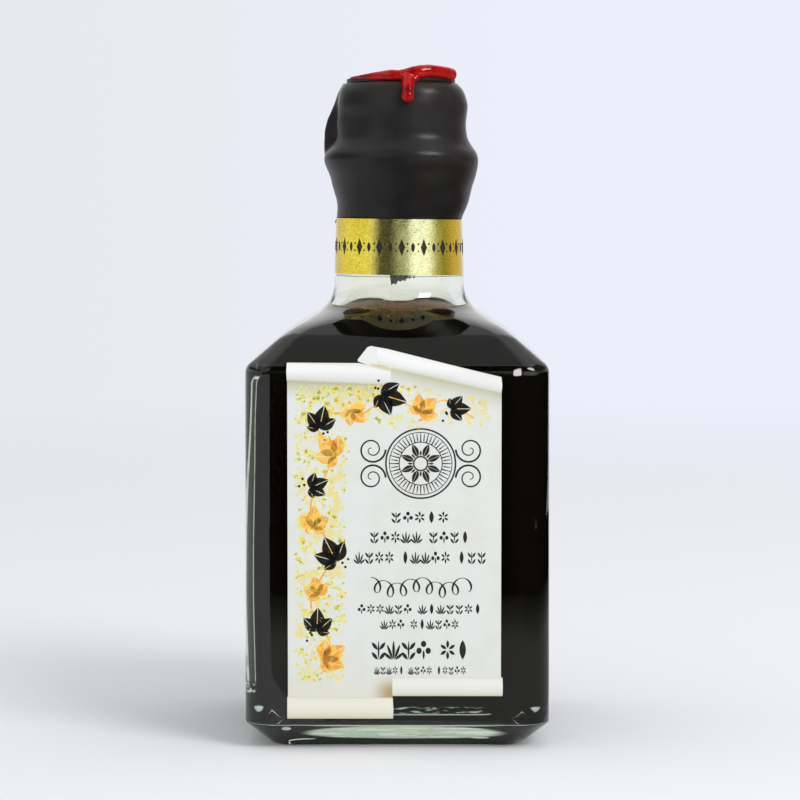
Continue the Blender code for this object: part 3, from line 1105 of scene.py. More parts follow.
def froth_recipe() -> Recipe:
    """Bubbles of uneven size at each point of the source, strewn a little."""
    kinds = {"Spread": "Float", "Rise": "Float", "Smallest": "Float", "Largest": "Float", "Seed": "Int"}
    recipe = Recipe("froth_ring", kinds)
    graph = recipe.graph
    spread, rise = recipe.given("Spread"), recipe.given("Rise")
    low = graph.node("ShaderNodeCombineXYZ", values={0: spread * -1.0, 1: spread * -1.0, 2: rise * -1.0})
    high = graph.node("ShaderNodeCombineXYZ", values={0: spread, 1: spread, 2: rise})
    seed = recipe.given("Seed")
    draw = {0: low, 1: high, "Seed": seed}
    strewn = graph.node("FunctionNodeRandomValue", {"data_type": "FLOAT_VECTOR"}, draw)
    moved = {"Geometry": recipe.given("Source"), "Offset": strewn}
    moved = graph.node("GeometryNodeSetPosition", values=moved)
    points = graph.node("GeometryNodeMeshToPoints", values={"Mesh": moved})
    bubble = graph.node("GeometryNodeMeshIcoSphere", values={"Radius": MM, "Subdivisions": 2})
    size = recipe.uneven(recipe.given("Smallest"), recipe.given("Largest"), seed + 1.0)
    placed = {"Points": points, "Instance": bubble, "Scale": size}
    recipe.ends_in(graph.node("GeometryNodeInstanceOnPoints", values=placed))
    return recipe


@dataclass(frozen=True)
class Vinegar:
    """What the bottle holds, reaching just into the glass, and the froth along its edge."""

    form: BottleForm
    level: float = 89.6
    into_glass: float = 0.15
    climb: float = 0.35
    froth_rows: int = 7
    froth_count: int = 210
    froth_depth: float = 1.9
    edge_steps: Pairs = ((0.05, 1.0), (0.35, 0.45), (0.8, 0.15), (1.6, 0.0), (5.0, 0.0))

    def build(self) -> list[Piece]:
        """Makes the vinegar and its froth."""
        material = DarkVinegar(self.level, self.form.floor_height).material()
        fill = finished(self._fill(), material, "vinegar")
        return [fill, finished(self._froth(), Froth().material())]

    def _fill(self) -> Piece:
        """The vinegar, whose edge climbs the glass a little."""
        rings = np.array(self.form.inner_rings(-self.into_glass))
        heights = rings[:, 0, 2]
        edge = self.level + self.climb
        under = int(np.flatnonzero(heights < edge)[-1])
        share = (edge - heights[under]) / (heights[under + 1] - heights[under])
        skin = list(rings[: under + 1])
        skin.append(rings[under] + (rings[under + 1] - rings[under]) * share)
        radius = self._wall(self.level)
        for inset, rise in self.edge_steps:
            reach = self.form.reach(radius - inset, radius - inset)
            skin.append(self.form.ring(reach, self.level + self.climb * rise))
        return lofted("vinegar_fill", skin)

    def _froth(self) -> Piece:
        """Bubbles in a ring against the glass, from just above the level to a little below it."""
        places = []
        for row in range(self.froth_rows):
            height = self.level + 0.2 - self.froth_depth * row / self.froth_rows
            for k in range(self.froth_count):
                angle = TURN * (k + 0.37 * row) / self.froth_count
                radius = self._wall(height) + self.into_glass
                lean = float(self.form.lean(height))
                places.append((lean + radius * math.cos(angle), radius * math.sin(angle), height))
        source = mesh_object("froth", np.array(places), [])
        sizes = {"Spread": 0.05 * MM, "Rise": 0.2 * MM, "Smallest": 0.05, "Largest": 0.19, "Seed": 4}
        return froth_recipe().made_from(source, sizes)

    def _wall(self, height: float) -> float:
        """Radius of the cavity in the neck or at its root."""
        halves, levels = zip(*self.form.inner_outline())
        return float(np.interp(height, levels, halves))


@dataclass(frozen=True)
class BlackWax:
    """The black wax that the neck was dipped in, with the wax that ran on under the band."""

    outline: Rows = (
        (110.5, 13.45, 0.5), (112.0, 13.85, 0.75), (114.1, 14.3, 0.95), (116.5, 14.95, 1.1),
        (119.0, 15.65, 1.2), (121.7, 16.5, 0.85), (123.2, 16.75, 0.75), (124.5, 16.35, 0.75),
        (126.1, 15.05, 0.75), (127.5, 14.25, 0.8), (129.0, 14.05, 0.85), (134.8, 14.05, 0.95),
        (137.4, 13.55, 0.95), (138.8, 12.85, 0.85), (139.4, 11.9, 0.7),
    )
    rim_radius: float = 11.75
    rim_top: float = 140.45
    rim_lean: float = 0.68
    rim_bevel: float = 0.3
    rim_foot: Pairs = ((0.35, 0.12), (0.05, 0.24), (0.0, 0.42))
    bore: Pairs = ((12.55, 122.3), (12.55, 110.0), (13.42, 109.96))
    neck_lean: float = 0.3
    skirt_height: float = 110.42
    skirt_radii: Pair = (13.46, 13.6)
    run_angle: float = math.radians(182)
    run_drop: float = 1.2
    run_drop_spread: float = math.radians(2.2)
    run_stand: float = 0.35
    run_stand_spread: float = math.radians(2.6)
    fin_ridge: Pairs = (
        (123.0, 16.75), (124.9, 16.95), (126.9, 17.05), (129.1, 17.0), (131.8, 16.35),
        (134.5, 15.35), (137.3, 14.1), (139.4, 12.6),
    )
    fin_angle: float = math.radians(170)
    fin_spread: float = math.radians(7)
    crease_angle: float = math.radians(181)
    crease_spread: float = math.radians(4.5)
    crease_depth: float = 1.5
    crease_height: float = 129.5
    crease_reach: float = 4.0
    tilt: float = 0.012
    dents: Rows = ((0.08, 3, 0.9, 0.0), (0.08, 5, -0.6, 1.0))
    sides: int = 288
    step: float = 0.3
    softness: float = 0.45
    fine_step: float = 0.05
    fringe: Pairs = (
        (-9.8, 0.3), (-9.0, 0.6), (-2.7, 0.45), (-2.2, 2.7), (-0.8, 2.6), (-0.4, 2.1), (1.5, 1.9),
        (2.4, 1.4), (4.4, 1.2), (5.4, 0.8), (9.2, 0.6), (10.2, 0.9), (12.2, 0.55), (12.6, 0.3),
    )
    fringe_radii: Pair = (13.93, 14.12)
    fringe_heights: Pair = (98.5, 99.2)
    finish: BlackWaxFinish = BlackWaxFinish()

    @property
    def angles(self) -> np.ndarray:
        """Directions round the wax."""
        return np.arange(self.sides) * TURN / self.sides

    def profile(self) -> np.ndarray:
        """Rows of height, radius and lean close together, with the outline's corners softened."""
        heights, radii, leans = (np.array(column) for column in zip(*self.outline))
        fine = np.arange(heights[0], heights[-1], self.fine_step)
        reach = 3 * self.softness
        offsets = np.arange(-reach, reach + 0.01, self.fine_step)
        weights = np.exp(-0.5 * (offsets / self.softness) ** 2)
        weights /= weights.sum()
        radius = sum(w * np.interp(fine + o, heights, radii) for w, o in zip(weights, offsets))
        lean = sum(w * np.interp(fine + o, heights, leans) for w, o in zip(weights, offsets))
        every = max(round(self.step / self.fine_step), 1)
        rows = np.stack([fine, radius, lean], axis=1)[::every]
        return np.vstack([rows, [heights[-1], radii[-1], leans[-1]]])

    def radius(self, height: float, radius: float) -> np.ndarray:
        """How far the wax stands from its own axis in each direction: dents, web and crease."""
        ridge = float(np.interp(height, *zip(*self.fin_ridge), left=0.0, right=0.0))
        fin = max(ridge - radius, 0.0) * self._bell(self.fin_angle, self.fin_spread)
        level = math.exp(-(((height - self.crease_height) / self.crease_reach) ** 4))
        crease = self.crease_depth * level * self._bell(self.crease_angle, self.crease_spread)
        return radius + waves(self.angles, height, self.dents) + fin - crease

    def _bell(self, angle: float, spread: float) -> np.ndarray:
        """1 in one direction, falling to 0 on either side."""
        turn = (self.angles - angle + math.pi) % TURN - math.pi
        return np.exp(-((turn / spread) ** 2))

    def _ring(self, radius: np.ndarray | float, height: np.ndarray | float, lean: float) -> np.ndarray:
        """One level of the wax."""
        reach = np.broadcast_to(radius, self.angles.shape)
        heights = np.broadcast_to(height, self.angles.shape)
        return np.stack([lean + reach * np.cos(self.angles), reach * np.sin(self.angles), heights], axis=1)

    def _skirt(self) -> np.ndarray:
        """Height of the wax's lower edge, which meets the band, with one run down it at the left."""
        edge = self.skirt_height - self.tilt * 13.5 * np.cos(self.angles)
        return edge - self.run_drop * self._bell(self.run_angle, self.run_drop_spread)

    def build(self) -> list[Piece]:
        """Makes the wax and the ragged wax behind the neck."""
        material = self.finish.material()
        cap = finished(self._cap(), material, "wax_cap")
        return [cap, finished(self._fringe(), material)]

    def _cap(self) -> Piece:
        """The dipped wax, hollow where the neck stands, with its thin rim on top."""
        rows = self.profile()
        start, end = rows[0][0], rows[-1][0]
        run = self.run_stand * self._bell(self.run_angle, self.run_stand_spread)
        rings = [self._ring(radius, height, self.neck_lean) for radius, height in self.bore]
        rings.append(self._ring(self.skirt_radii[0], self._skirt() - 0.05, self.neck_lean))
        rings.append(self._ring(self.skirt_radii[1] + run, self._skirt(), self.neck_lean + 0.02))
        for height, radius, lean in rows:
            lift = max(0.0, 1 - (height - start) / 1.2) * (self._skirt() - start)
            rings.append(self._ring(self.radius(height, radius) + run, height + 0.1 + lift, lean))
            run = run * 0.6
        lean = self.rim_lean
        rings += [self._ring(self.rim_radius - inset, end + up, lean) for inset, up in self.rim_foot]
        for k in range(5):
            bend = QUARTER * k / 4
            out = self.rim_radius - self.rim_bevel * (1 - math.cos(bend))
            up = self.rim_top - self.rim_bevel * (1 - math.sin(bend))
            rings.append(self._ring(out, up, lean))
        for share in (0.85, 0.6, 0.3, 0.08):
            sway = 0.06 * np.sin(3 * self.angles + 9 * share) * share
            rings.append(self._ring(self.rim_radius * share, self.rim_top - 0.12 + sway, lean))
        return lofted("dipped_wax", rings)

    def _fringe(self) -> Piece:
        """Thin ragged wax on the back of the neck, hanging out under the band."""
        low, top = self.fringe_heights
        across = np.linspace(self.fringe[0][0], self.fringe[-1][0], 160)
        drop = np.interp(across, *zip(*self.fringe))
        drop = drop + 0.12 * np.sin(across * 5.1) + 0.08 * np.sin(across * 11.7 + 1)
        inner, outer = self.fringe_radii
        sheet = []
        for radius, edge in ((inner, True), (inner, False), (outer, False), (outer, True)):
            depth = np.sqrt(radius**2 - across**2)
            height = low - np.maximum(drop, 0.05) if edge else np.full(len(across), top)
            sheet.append(np.stack([across + self.neck_lean, depth, height], axis=1))
        return lofted("wax_fringe", np.stack(sheet, axis=1))


@dataclass(frozen=True)
class RedWax:
    """The red pour: beads of x, y, z and radius run together over the rim and down the front."""

    tongue: Rows = (
        (-9.9, -4.4, 140.45, 0.35), (-7.8, -7.5, 140.5, 0.55), (-5.5, -9.5, 140.55, 0.85),
        (-3.1, -10.7, 140.65, 1.1), (-1.3, -11.2, 140.75, 1.25), (0.3, -11.2, 140.75, 1.15),
        (1.8, -11.2, 140.8, 1.4),
    )
    arch: Rows = (
        (1.8, -11.2, 140.8, 1.4), (3.2, -11.0, 141.15, 1.5), (4.8, -10.6, 141.5, 1.5),
        (6.6, -9.7, 141.75, 1.4), (8.8, -7.8, 141.6, 1.4), (10.4, -5.8, 141.35, 1.5),
        (11.2, -4.3, 141.2, 1.55),
    )
    drip: Rows = (
        (1.8, -11.2, 140.6, 1.45), (2.3, -12.4, 139.4, 1.4), (2.2, -13.4, 138.0, 1.3),
        (2.15, -14.0, 136.7, 1.35), (2.15, -14.2, 136.2, 1.45),
    )
    web: Rows = (
        (3.9, -11.5, 140.3, 0.9), (3.1, -12.0, 139.5, 0.9),
    )
    puddle: Rows = (
        (1.8, -9.5, 140.6, 1.0), (4.5, -6.0, 140.4, 1.1), (8.5, -4.2, 140.8, 1.3),
    )
    bead_step: float = 0.3
    voxel: float = 0.15
    soften: int = 6
    finish: RedWaxFinish = RedWaxFinish()

    def build(self) -> list[Piece]:
        """Makes the pour."""
        shape = bmesh.new()
        for run in (self.tongue, self.arch, self.drip, self.web, self.puddle):
            for x, y, z, radius in self._beads(run):
                ball = bmesh.ops.create_icosphere(shape, subdivisions=3, radius=radius * MM)
                bmesh.ops.translate(shape, verts=ball["verts"], vec=Vector((x, y, z)) * MM)
        rough = formed("pour_beads", shape)
        merge = rough.modifiers.new("run together", "REMESH")
        merge.mode = "VOXEL"
        merge.voxel_size = self.voxel * MM
        soften = rough.modifiers.new("soften", "SMOOTH")
        soften.iterations = self.soften
        return [finished(settled("red_pour", rough), self.finish.material(), "red_wax")]

    def _beads(self, run: Rows) -> np.ndarray:
        """Points and radii close together along one run of the pour."""
        points = np.array(run)
        lengths = np.linalg.norm(np.diff(points[:, :3], axis=0), axis=1)
        along = np.concatenate([[0], np.cumsum(lengths)])
        wanted = np.arange(0, along[-1] + self.bead_step / 2, self.bead_step)
        return np.stack([np.interp(wanted, along, points[:, k]) for k in range(4)], axis=1)


def prism(outline: np.ndarray, thickness: float, sunk: float = 0.02) -> tuple[np.ndarray, Faces]:
    """A thin flat print that faces -Y.

    Args:
        outline: rows of x and z round its edge.
        thickness: how far it stands out of its plane.
        sunk: how far its back lies behind the plane.

    Returns:
        Its points and faces.
    """
    count = len(outline)
    front = np.insert(outline, 1, -thickness, axis=1)
    back = np.insert(outline, 1, sunk, axis=1)
    faces = [tuple(range(count)), tuple(reversed(range(count, 2 * count)))]
    faces += [(k, k + count, (k + 1) % count + count, (k + 1) % count) for k in range(count)]
    return np.vstack([front, back]), faces


def petal(place: Pair, turn: float, length: float, width: float) -> np.ndarray:
    """Rows of x and z round a slender pointed petal that leaves its place in that direction."""
    along = np.linspace(0.0, 1.0, 8)
    half = width / 2 * np.sin(np.pi * along) ** 0.8
    side = np.concatenate([half, -half[-2:0:-1]])
    reach = np.concatenate([along, along[-2:0:-1]]) * length
    x = place[0] + reach * math.sin(turn) + side * math.cos(turn)
    z = place[1] + reach * math.cos(turn) - side * math.sin(turn)
    return np.stack([x, z], axis=1)


def disc(place: Pair, radius: float) -> np.ndarray:
    """Rows of x and z round a disc."""
    turn = np.arange(14) * TURN / 14
    return np.stack([place[0] + radius * np.cos(turn), place[1] + radius * np.sin(turn)], axis=1)


def beside(place: Sequence[float], angle: float, reach: float) -> Triple:
    """The point of a flat print that far from a place, in a direction taken clockwise from up."""
    return (place[0] + reach * math.sin(angle), 0.0, place[1] + reach * math.cos(angle))


class Stamp(Enum):
    """Small printed shapes, each about one millimetre high before it is scaled."""

    LENS = "lens"
    LOZENGE = "lozenge"
    DISC = "disc"
    LEAF = "leaf"
    TICK = "tick"
    BLOT = "blot"
    SPRAY = "spray"
    ROSE = "rose"
    TREFOIL = "trefoil"
    SPRIG = "sprig"

    def outlines(self) -> list[np.ndarray]:
        """Rows of x and z round each part of the shape."""
        turn = np.arange(20) * TURN / 20
        if self is Stamp.DISC:
            return [disc((0.0, 0.0), 0.5)]
        if self is Stamp.LOZENGE:
            return [np.array([(0.0, -0.5), (0.28, 0.0), (0.0, 0.5), (-0.28, 0.0)])]
        if self is Stamp.TICK:
            return [np.array([(-0.12, -0.5), (0.12, -0.5), (0.06, 0.5), (-0.06, 0.5)])]
        if self is Stamp.BLOT:
            wobble = 0.36 + 0.13 * np.sin(3 * turn) + 0.07 * np.sin(5 * turn + 1)
            return [np.stack([wobble * np.cos(turn), wobble * np.sin(turn)], axis=1)]
        if self is Stamp.SPRAY:
            fan = ((-0.95, 0.62), (-0.42, 0.86), (0.0, 0.98), (0.42, 0.86), (0.95, 0.62))
            return [petal((0.1 * lean, -0.5), lean, length, 0.16) for lean, length in fan]
        if self is Stamp.ROSE:
            turns = [TURN * k / 6 for k in range(6)]
            return [petal((0.09 * math.sin(a), 0.09 * math.cos(a)), a, 0.4, 0.17) for a in turns]
        if self is Stamp.TREFOIL:
            spots = ((0.0, 0.3), (-0.27, -0.05), (0.27, -0.05))
            return [disc(spot, 0.16) for spot in spots] + [petal((0.0, -0.5), 0.0, 0.5, 0.13)]
        if self is Stamp.SPRIG:
            leaves = [(side, low) for side in (-1, 1) for low in (-0.5, 0.0)]
            pairs = [petal((side * 0.05, low), side * 0.75, 0.52, 0.19) for side, low in leaves]
            return pairs + [petal((0.0, -0.5), 0.0, 0.98, 0.1)]
        height = np.linspace(-0.5, 0.5, 9)
        width = 0.24 * np.cos(np.pi * height) ** 0.8
        if self is Stamp.LENS:
            right = np.stack([width, height], axis=1)
            left = np.stack([-width[-2:0:-1], height[-2:0:-1]], axis=1)
            return [np.vstack([right, left])]
        bow = width * (1.25 - 0.6 * height)
        rib = 0.015
        right = np.stack([np.maximum(bow, rib), height], axis=1)
        spine = np.stack([np.full(7, rib), height[-2:0:-1]], axis=1)
        half = np.vstack([right, spine])
        return [half, half * (-1.0, 1.0)]

    def piece(self, thickness: float) -> Piece:
        """The shape as an object to be repeated, in millimetre units scaled to metres."""
        points, faces, start = [], [], 0
        for outline in self.outlines():
            part_points, part_faces = prism(outline, thickness)
            points.append(part_points)
            faces += [tuple(k + start for k in face) for face in part_faces]
            start += len(part_points)
        return mesh_object(f"stamp_{self.value}", np.vstack(points), faces)


@dataclass(frozen=True)
class Mark:
    """Where one stamp goes: its place, its turn in the sheet or round the neck, and its width and height."""

    place: Triple
    turn: Triple
    width: float
    height: float


def end_in_stamps(recipe: Recipe, points: Wire, turn: Wire, stretch: Wire) -> None:
    """Ends a recipe in its stamp at each of the points, turned and stretched."""
    graph = recipe.graph
    given = {"Object": recipe.given("Stamp")}
    values = {
        "Points": points,
        "Instance": graph.node("GeometryNodeObjectInfo", values=given, output="Geometry"),
        "Rotation": graph.node("FunctionNodeEulerToRotation", values={0: turn}),
        "Scale": stretch,
    }
    recipe.ends_in(graph.node("GeometryNodeInstanceOnPoints", values=values))


def stamp_recipe() -> Recipe:
    """The stamp at every point of the source, turned and stretched by the points' own attributes."""
    recipe = Recipe("stamp_marks", {"Stamp": "Object"})
    settings = {"data_type": "FLOAT_VECTOR"}
    turn, stretch = (
        recipe.graph.node("GeometryNodeInputNamedAttribute", settings, {"Name": name})
        for name in ("turn", "stretch")
    )
    end_in_stamps(recipe, recipe.given("Source"), turn, stretch)
    return recipe


def scatter_recipe() -> Recipe:
    """The stamp strewn over the source's faces in clumps, at uneven sizes and turns."""
    kinds = {"Stamp": "Object", "Density": "Float", "Clump": "Float"}
    kinds |= {"Smallest": "Float", "Largest": "Float", "Seed": "Int"}
    recipe = Recipe("strewn_specks", kinds)
    graph = recipe.graph
    position = graph.node("GeometryNodeInputPosition")
    clump = {"Vector": position, "Scale": recipe.given("Clump"), "Detail": 2.0}
    cloud = graph.node("ShaderNodeTexNoise", values=clump)
    density = recipe.given("Density") * graph.rise(cloud, 0.42, 0.66)
    seed = recipe.given("Seed")
    points = graph.node(
        "GeometryNodeDistributePointsOnFaces",
        {"distribute_method": "RANDOM"},
        {"Mesh": recipe.given("Source"), "Density": density, "Seed": seed},
    )
    size = recipe.uneven(recipe.given("Smallest"), recipe.given("Largest"), seed + 1.0)
    turn = graph.node("ShaderNodeCombineXYZ", values={1: recipe.uneven(0.0, TURN, seed + 2.0)})
    stretch = graph.node("ShaderNodeCombineXYZ", values={0: size, 1: 1.0, 2: size})
    end_in_stamps(recipe, points, turn, stretch)
    return recipe


def stamped(name: str, stamp: Stamp, marks: Sequence[Mark], thickness: float) -> Piece:
    """Prints one stamp at each mark.

    Args:
        name: the name of the print.
        stamp: the shape.
        marks: where each copy goes.
        thickness: how far the ink stands out.

    Returns:
        The print, as one mesh.
    """
    source = mesh_object(name, np.array([mark.place for mark in marks]), [])
    for label, rows in (
        ("turn", [mark.turn for mark in marks]),
        ("stretch", [(mark.width, 1.0, mark.height) for mark in marks]),
    ):
        attribute = source.data.attributes.new(label, "FLOAT_VECTOR", "POINT")
        attribute.data.foreach_set("vector", np.array(rows, dtype=np.float32).ravel())
    shape = stamp.piece(thickness)
    made = stamp_recipe().made_from(source, {"Stamp": shape})
    bpy.data.objects.remove(shape)
    return made


def stroke(name: str, line: np.ndarray, widths: np.ndarray | float, thickness: float) -> Piece:
    """A printed line.

    Args:
        name: its name.
        line: rows of x and z along it.
        widths: its width at each point, or all along.
        thickness: how far the ink stands out.

    Returns:
        The line, as one mesh.
    """
    along = np.gradient(line, axis=0)
    along /= np.linalg.norm(along, axis=1, keepdims=True)
    side = np.stack([-along[:, 1], along[:, 0]], axis=1) * np.broadcast_to(widths, len(line))[:, None] / 2
    left, right = line + side, line - side
    corners = [(left, -thickness), (right, -thickness), (right, 0.02), (left, 0.02)]
    rings = np.stack([np.insert(edge, 1, depth, axis=1) for edge, depth in corners], axis=1)
    return lofted(name, rings)


@dataclass(frozen=True)
class GoldBand:
    """The foil band round the neck, its ends lapped at the back, with a printed row of small diamonds."""

    low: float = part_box("neck_band")[0].z / MM
    high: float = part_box("neck_band")[1].z / MM
    seat: Pair = (13.93, 13.58)
    thickness: float = 0.1
    sides: int = 240
    levels: int = 14
    lap: float = math.radians(24)
    lean: float = 0.3
    tilt: float = 0.012
    row_height: float = 104.3
    diamonds: int = 18
    ink_thickness: float = 0.02
    finish: GoldFoil = GoldFoil()

    def radius(self, height: np.ndarray | float) -> np.ndarray | float:
        """Inner radius of the band, which narrows a little towards the wax."""
        share = (height - self.low) / (self.high - self.low)
        return self.seat[0] + (self.seat[1] - self.seat[0]) * share

    def build(self) -> list[Piece]:
        """Makes the band, its lap and its print."""
        foil = self.finish.material()
        ring = finished(self._ring(), foil, "neck_band")
        lap = finished(self._lap(), foil)
        ink = Ink("band_ink", "2a2617", "3c3620").material()
        return [ring, lap, finished(self._row(), ink)]

    def _sheet(self, angles: np.ndarray, stand_off: float, closed: bool, name: str) -> Piece:
        """Foil that follows the neck through these directions."""
        heights = np.linspace(self.low, self.high, self.levels)
        heights = np.concatenate([heights, heights[::-1]])
        outer = np.repeat([0.0, self.thickness], self.levels)
        rings = []
        for angle in angles:
            crinkle = 0.012 * np.sin(9 * angle + 0.9 * heights) + 0.01 * np.sin(23 * angle - 1.7 * heights)
            radii = self.radius(heights) + stand_off + outer + crinkle
            across = radii * np.cos(angle)
            levels = heights - self.tilt * across
            rings.append(np.stack([across + self.lean, radii * np.sin(angle), levels], axis=1))
        return lofted(name, rings, closed)

    def _ring(self) -> Piece:
        """The band itself."""
        return self._sheet(np.arange(self.sides) * TURN / self.sides, 0.0, True, "foil_band")

    def _lap(self) -> Piece:
        """The end of the foil where it laps over its start, at the back."""
        angles = np.linspace(QUARTER - self.lap / 2, QUARTER + self.lap / 2, 30)
        return self._sheet(angles, self.thickness + 0.02, False, "foil_lap")

    def _row(self) -> Piece:
        """Diamonds with dots between them, all round the band but for the lap."""
        tilt = math.atan2(self.seat[0] - self.seat[1], self.high - self.low)
        reach = float(self.radius(self.row_height)) + self.thickness + 0.01
        large, small, tiny = [], [], []
        for k in range(4 * self.diamonds):
            angle = TURN * (k + 0.5) / (4 * self.diamonds)
            if abs(angle - math.pi) < self.lap * 0.75:
                continue
            turn = (-tilt, 0.0, angle)
            across = reach * math.sin(angle)
            place = (across + self.lean, -reach * math.cos(angle), self.row_height - self.tilt * across)
            if k % 4 == 0:
                large.append(Mark(place, turn, 2.6, 3.7))
            elif k % 4 == 2:
                small.append(Mark(place, turn, 1.7, 2.1))
            else:
                tiny += [Mark((*place[:2], place[2] + rise), turn, 0.42, 0.42) for rise in (-0.75, 0.75)]
        rows = (
            ("row_large", Stamp.LOZENGE, large),
            ("row_small", Stamp.LENS, small),
            ("row_tiny", Stamp.DISC, tiny),
        )
        return joined("band_print", [stamped(*row, self.ink_thickness) for row in rows])


@dataclass(frozen=True)
class TextRow:
    """A printed row that stands in for writing: groups of small marks, never letters."""

    left: float
    right: float
    low: float
    high: float
    groups: tuple[int, ...]
    weight: float = 1.0


@dataclass(frozen=True)
class Label:
    """The paper scroll on the front and all that is printed on it."""

    form: BottleForm
    left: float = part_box("label")[0].x / MM
    right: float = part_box("label")[1].x / MM
    low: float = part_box("label")[0].z / MM
    aside: float = -0.22
    stand_off: float = 0.05
    thickness: float = 0.15
    ink: float = 0.02
    rolls: tuple[PrintedRoll, ...] = (
        PrintedRoll(-3.96, 21.95, (80.3, 74.4), (84.0, 77.8), 4.6, 0.64),
        PrintedRoll(-22.7, -1.1, (77.15, 76.2), (80.8, 79.9), 5.0, 0.75),
        PrintedRoll(-0.8, 22.2, (11.3, 11.3), (15.3, 15.2), 2.0, 0.2),
        PrintedRoll(-22.7, -0.6, (6.6, 6.6), (11.1, 11.0), 2.0, 0.2),
    )
    rows: tuple[TextRow, ...] = (
        TextRow(-1.2, 11.0, 47.5, 50.0, (5,)),
        TextRow(-5.6, 15.4, 43.3, 45.9, (5, 4)),
        TextRow(-8.7, 18.8, 39.0, 41.7, (4, 5, 3)),
        TextRow(-8.1, 17.9, 28.5, 30.7, (6, 7)),
        TextRow(-3.3, 13.1, 25.3, 27.5, (3, 6)),
        TextRow(-5.2, 15.4, 19.0, 23.1, (4, 2), 1.15),
        TextRow(-4.6, 14.6, 15.8, 17.7, (5, 4, 5)),
    )
    medallion: Pair = (5.1, 59.9)
    medallion_radius: float = 7.2
    medallion_rings: Pairs = ((1.0, 0.34), (0.9, 0.16), (0.62, 0.2), (0.2, 0.3))
    ticks: int = 48
    petals: int = 8
    curl_reach: float = 2.6
    curl_turns: float = 1.7
    sprigs: int = 12
    sprig_size: float = 5.6
    sprig_leaves: Pairs = ((0.62, 1.0), (1.45, 0.85), (-0.2, 0.8), (2.3, 0.55))
    sprig_berries: Pairs = ((2.6, 0.0), (3.4, 0.9), (3.5, -0.7))
    speck_fields: Rows = (
        (-20.9, -10.4, 14.6, 67.0), (-20.9, 5.0, 67.0, 76.0), (5.0, 20.2, 67.6, 73.5),
    )
    word_gap: float = 0.6
    flourish_left: float = -5.2
    flourish_width: float = 20.2
    flourish_height: float = 34.1
    flourish_loops: float = 7.5

    def build(self) -> list[Piece]:
        """Makes the paper and its print."""
        scroll = ScrollPaper(self.rolls, self.aside).material()
        black = Ink("black_ink", "262625", "35342f").material()
        leaf_black = Ink("leaf_black", "1a1815", "b09a3c", 0.25, 1.6).material()
        orange = Ink("leaf_orange", "f0a63c", "f6c455", 0.9, 0.8).material()
        yellow = Ink("speck_yellow", "f0dc62", "dce27a", 0.8, 0.6).material()
        made = [finished(self._paper(), scroll, "label")]
        made.append(finished(self._laid(self._specks()), yellow))
        for name, stamps, material in (
            ("vine_orange", self._vine(orange=True), orange),
            ("vine_black", self._vine(orange=False), leaf_black),
            ("medallion", self._medallion(), black),
            ("text_rows", self._text(), black),
        ):
            made.append(finished(self._laid(joined(name, stamps)), material))
        return made

    def _outline(self) -> list[Pair]:
        """x and height round the scroll."""
        roll_low, roll_high = self.rolls[3].left + 0.05, self.rolls[2].right - 0.05
        return [
            (roll_low, self.low),
            (-0.62, self.low),
            (-0.55, self.low + 1.9),
            (-0.7, self.low + 4.3),
            (-0.75, 11.35),
            (roll_high, 11.35),
            (roll_high + 0.06, 13.3),
            (roll_high - 0.02, 15.25),
            (self.right, 15.3),
            (self.right, 74.6),
            (21.95, 76.2),
            (21.75, 77.85),
            (-1.7, 83.4),
            (-5.3, 84.0),
            (-6.0, 83.75),
            (-8.0, 81.3),
            (-7.9, 81.0),
            (-5.9, 80.25),
            (-7.6, 80.65),
            (self.rolls[1].left + 0.1, 80.75),
            (self.rolls[1].left + 0.02, 79.0),
            (self.rolls[1].left + 0.1, 77.1),
            (self.left, 76.9),
            (self.left, 11.2),
            (roll_low, 11.05),
        ]

    def _paper(self) -> Piece:
        """The paper, which bends with the glass where the shoulder starts."""
        shape = bmesh.new()
        corners = [shape.verts.new((x * MM, 0.0, z * MM)) for x, z in self._outline()]
        shape.faces.new(corners)
        for height in np.arange(76.0, 84.0, 0.4):
            everything = shape.verts[:] + shape.edges[:] + shape.faces[:]
            cut = Vector((0.0, 0.0, height * MM))
            bmesh.ops.bisect_plane(shape, geom=everything, plane_co=cut, plane_no=(0, 0, 1))
        bmesh.ops.triangulate(shape, faces=shape.faces)
        outer = bmesh.ops.extrude_face_region(shape, geom=shape.faces[:])
        fronts = {v for v in outer["geom"] if isinstance(v, bmesh.types.BMVert)}
        for vert in shape.verts:
            vert.co.y = -self.thickness * MM if vert in fronts else 0.0
        bmesh.ops.recalc_face_normals(shape, faces=shape.faces)
        return self._laid(formed("label_scroll", shape), self.stand_off)

    def _laid(self, flat: Piece, stand_off: float | None = None) -> Piece:
        """Lays a flat sheet or print on the front of the glass, on the paper unless told otherwise."""
        out = self.stand_off + self.thickness if stand_off is None else stand_off
        count = len(flat.data.vertices)
        points = np.zeros(count * 3)
        flat.data.vertices.foreach_get("co", points)
        points = points.reshape(-1, 3)
        points[:, 0] += self.aside * MM
        points[:, 1] -= (self.form.front(points[:, 2] / MM) + out) * MM
        flat.data.vertices.foreach_set("co", points.ravel())
        flat.data.update()
        return flat

    def _stem(self) -> np.ndarray:
        """Rows of x and z along the vine: up the left side in waves, then along the top."""
        up = np.linspace(0, 1, 120)
        rising = np.stack([-15.6 + 2.1 * np.sin(up * 5.2 * math.pi), 16.0 + 52.0 * up], axis=1)
        over = np.linspace(0, 1, 90)
        start = rising[-1]
        height = start[1] + 4.6 * np.sin(over * 2.6) + 1.1 * np.sin(over * 17)
        crossing = np.stack([start[0] + 33.0 * over, height], axis=1)
        return np.vstack([rising, crossing[1:]])

